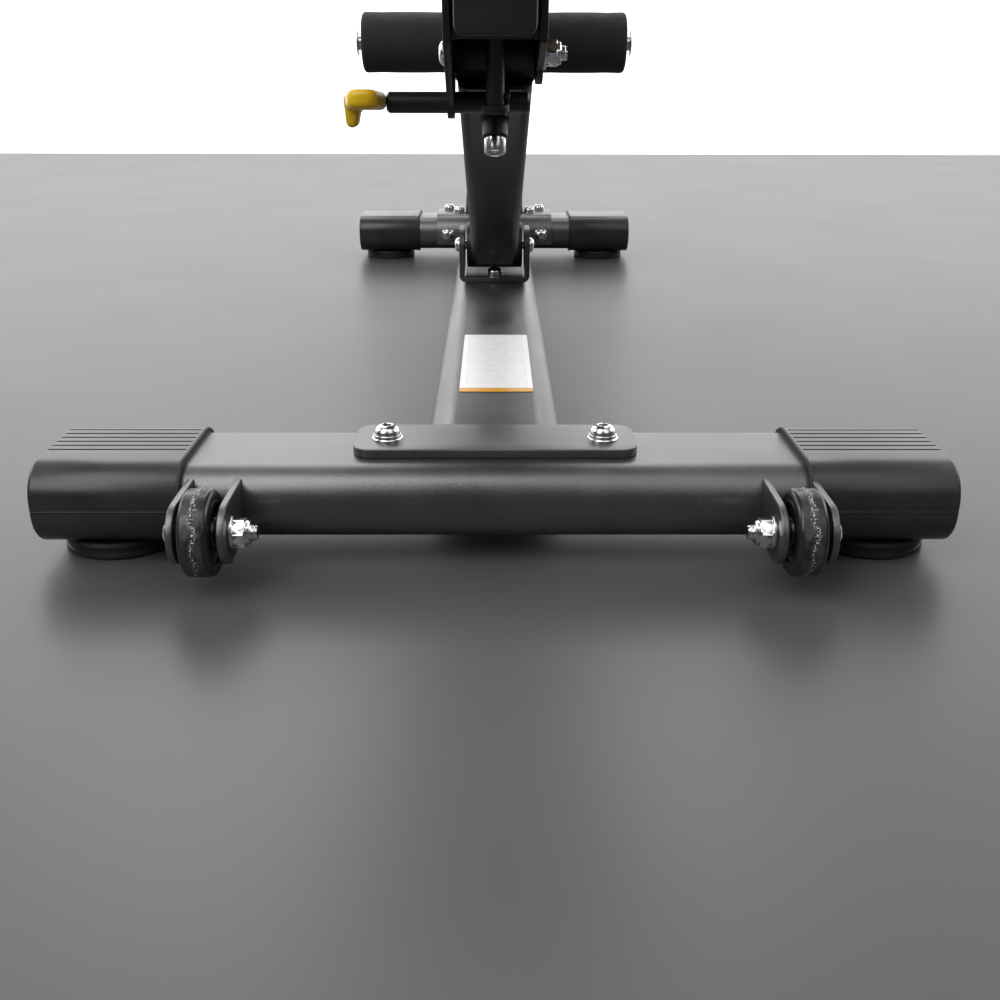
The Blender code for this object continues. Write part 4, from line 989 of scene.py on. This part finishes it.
def roller(node, joint):
    lo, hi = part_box(node)
    hub = Vector(JOINTS[joint]["pos_m"])
    radius, half, hole, edge = (hi.z - lo.z) / 2, (hi.x - lo.x) / 2, 0.0128, 0.007
    side = [(hole, half - 0.0012), (0.020, half - 0.0012), (0.0215, half - 0.0002), (0.024, half)]
    side += [(r, z) for z, r in arc(half - edge, radius - edge, edge, 0, 90, 8)]
    side += [(radius - 0.0006, half * 0.6), (radius - 0.0001, half * 0.3)]
    sleeve = lathe(mirrored(side, [(radius, 0.0)]), 80, "X")
    put(node + "_look", sleeve, Matrix.Translation(hub), node, crease=math.radians(50))


def leg_hold():
    wide = 0.060
    receiver_lo, receiver_hi = span("leg_receiver", LEG)
    mid = (receiver_lo + receiver_hi) / 2
    beyond = extruded([rounded_rect(0.09, 0.20 + wide, 0.004, 3)], 0.40, "Z", 0.0001)
    arm_place = ROOT.inverted() @ LEG
    arm_lo, arm_hi = span("leg_arm", ROOT)
    w, z_mid = arm_hi.x - arm_lo.x, (arm_lo.z + arm_hi.z) / 2
    loop = [(sx * w / 2, arm_lo.y + 0.0006, z_mid + sz * w / 2)
            for sx, sz in ((-1, -1), (1, -1), (1, 1), (-1, 1))]
    tube_for("leg_arm", ROOT, "Y", 0.006, 0.003, [(bead(loop, 0.0022, 81, True), HERE)],
             [(beyond, arm_place @ at(y=mid.y + 0.1 + 0.0003))])
    tube_for("leg_receiver", LEG, "Z", 0.008, 0.0045)
    flat_piece("receiver_cap", LEG, 0.008, 0.0015)
    post_face = span("leg_post", LEG)[1].y
    knob_lo, knob_hi = span("pull_knob", LEG)
    knob_z = (knob_lo.z + knob_hi.z) / 2
    slot = extruded([rounded_rect(0.0125, 0.134, 0.006)], 0.012, "Y", 0.0001)
    tube_for("leg_post", LEG, "Z", 0.005, 0.003, holes=[(slot, at(y=post_face, z=knob_z + 0.060))])
    flat_piece("leg_post_cap", LEG, 0.005, 0.0015)
    bar("knee_bar", LEG)
    bar("ankle_bar", LEG)
    for side in ("left", "right"):
        for height in ("knee", "ankle"):
            roller(f"{height}_roller_{side}", f"{height}_roller_spin_{side}")
    seat = span("knob_housing", LEG)[0].y
    housing = [(0.0053, 0.0), (0.0053, 0.0200), (0.0088, 0.0200), (0.0095, 0.0193), (0.0095, 0.0125),
               (0.0113, 0.0105), (0.0115, 0.0100), (0.0115, 0.0)]
    outward = Matrix.Rotation(-math.pi / 2, 4, "X")
    place = LEG @ at(0, seat, knob_z) @ outward
    put("knob_housing_look", lathe(housing, 48), place, "knob_housing")
    top = knob_hi.y - seat
    grip = [(0.0, top), (0.0080, top - 0.0003), (0.0120, top - 0.0020), (0.0150, top - 0.0045),
            (0.0165, top - 0.0070), (0.0166, top - 0.0125), (0.0150, top - 0.0155),
            (0.0125, top - 0.0175), (0.0105, top - 0.0220), (0.0100, 0.0206)]
    stem = [(0.0052, 0.0206), (0.0052, -0.0090), (0.0042, -0.0110), (0.0, -0.0110)]
    put("pull_knob_look", lathe(grip + stem, 64, ripple=0.02, lobes=8), place, "pull_knob")


base()
upright()
strut()
carriage()
lever()
pad_frame()
cushion()
leg_hold()


# ---- floor, light and camera -------------------------------------------------------------------
FLOOR_COLOR = (0.086, 0.086, 0.086)
BACKDROP, CEILING, NEAR_END = 1.75, 0.35, 0.05


def floor():
    mesh = bpy.data.meshes.new("floor")
    reach, far, height = 14.0, 2.585, -0.0002
    corners = [(x, y, height) for x, y in ((-reach, -reach), (reach, -reach), (reach, far), (-reach, far))]
    mesh.from_pydata(corners, [], [(0, 1, 2, 3)])
    made = bpy.data.objects.new("floor", mesh)
    scene.collection.objects.link(made)
    look = Look("floor", FLOOR_COLOR, 0.5)
    look.roughness(look.ease(look.noise(5, 3.0), 0.3, 0.7, 0.37, 0.39))
    look.bump(look.noise(260, 2.0), 0.0002, 0.15)
    mesh.materials.append(look.material)


def area_light(name, place, target, size, energy):
    data = bpy.data.lights.new(name, "AREA")
    data.shape, data.size, data.size_y, data.energy = "RECTANGLE", *size, energy
    made = bpy.data.objects.new(name, data)
    scene.collection.objects.link(made)
    made.location = place
    made.rotation_euler = (Vector(target) - Vector(place)).to_track_quat("-Z", "Y").to_euler()


def world():
    """Soft studio: bright and low at the far end, dim overhead, dark at the near end."""
    made = bpy.data.worlds.new("studio")
    scene.world = made
    made.use_nodes = True
    tree = made.node_tree
    where = tree.nodes.new("ShaderNodeTexCoord").outputs["Generated"]
    split = tree.nodes.new("ShaderNodeSeparateXYZ")
    tree.links.new(where, split.inputs[0])

    def ease(axis, low, high, to_low, to_high):
        step = tree.nodes.new("ShaderNodeMapRange")
        step.interpolation_type = "SMOOTHSTEP"
        tree.links.new(split.outputs[axis], step.inputs["Value"])
        for socket, value in (("From Min", low), ("From Max", high), ("To Min", to_low), ("To Max", to_high)):
            step.inputs[socket].default_value = value
        return step.outputs["Result"]

    def total(operation, a, b):
        step = tree.nodes.new("ShaderNodeMath")
        step.operation = operation
        tree.links.new(a, step.inputs[0])
        tree.links.new(b, step.inputs[1])
        return step.outputs[0]

    backdrop = total("MULTIPLY", ease("Y", 0.05, 0.75, 0.0, BACKDROP), ease("Z", 0.40, 0.75, 1.0, 0.0))
    ceiling = total("ADD", ease("Z", 0.35, 0.95, 0.0, CEILING), ease("Y", -0.6, 0.4, NEAR_END, NEAR_END * 2))
    shell = tree.nodes["Background"].inputs
    shell["Color"].default_value = (1.0, 1.0, 1.0, 1.0)
    tree.links.new(total("ADD", backdrop, ceiling), shell["Strength"])


def camera():
    """Low camera behind the wheel end, looking along +Y and down."""
    data = bpy.data.cameras.new("camera")
    data.sensor_width, data.lens, data.shift_y = 36.0, 39.25, -0.001
    data.clip_start, data.clip_end = 0.01, 100.0
    made = bpy.data.objects.new("camera", data)
    scene.collection.objects.link(made)
    pitch, yaw, roll = math.radians(22.085), math.radians(0.362), math.radians(0.13)
    turn = (Matrix.Rotation(-yaw, 4, "Z") @ Matrix.Rotation(math.pi / 2 - pitch, 4, "X")
            @ Matrix.Rotation(roll, 4, "Z"))
    made.matrix_world = Matrix.Translation((-0.00108, REAR_Y - 0.700, 0.31241)) @ turn
    scene.camera = made


floor()
world()
area_light("far_overhead", (-0.3, 1.9, 2.3), (0, -0.1, 0), (2.6, 1.6), 36)
area_light("near_left", (-1.3, -2.0, 2.1), (0, -0.6, 0), (1.6, 2.6), 45)
area_light("side_left", (-2.6, 0.2, 1.7), (0, 0.1, 0.3), (1.6, 1.2), 20)
area_light("side_right", (2.6, 0.2, 1.7), (0, 0.1, 0.3), (1.6, 1.2), 20)
area_light("near_right", (1.0, -2.0, 2.1), (0, -0.6, 0), (1.6, 2.6), 13)
camera()
scene.view_settings.view_transform = "Standard"
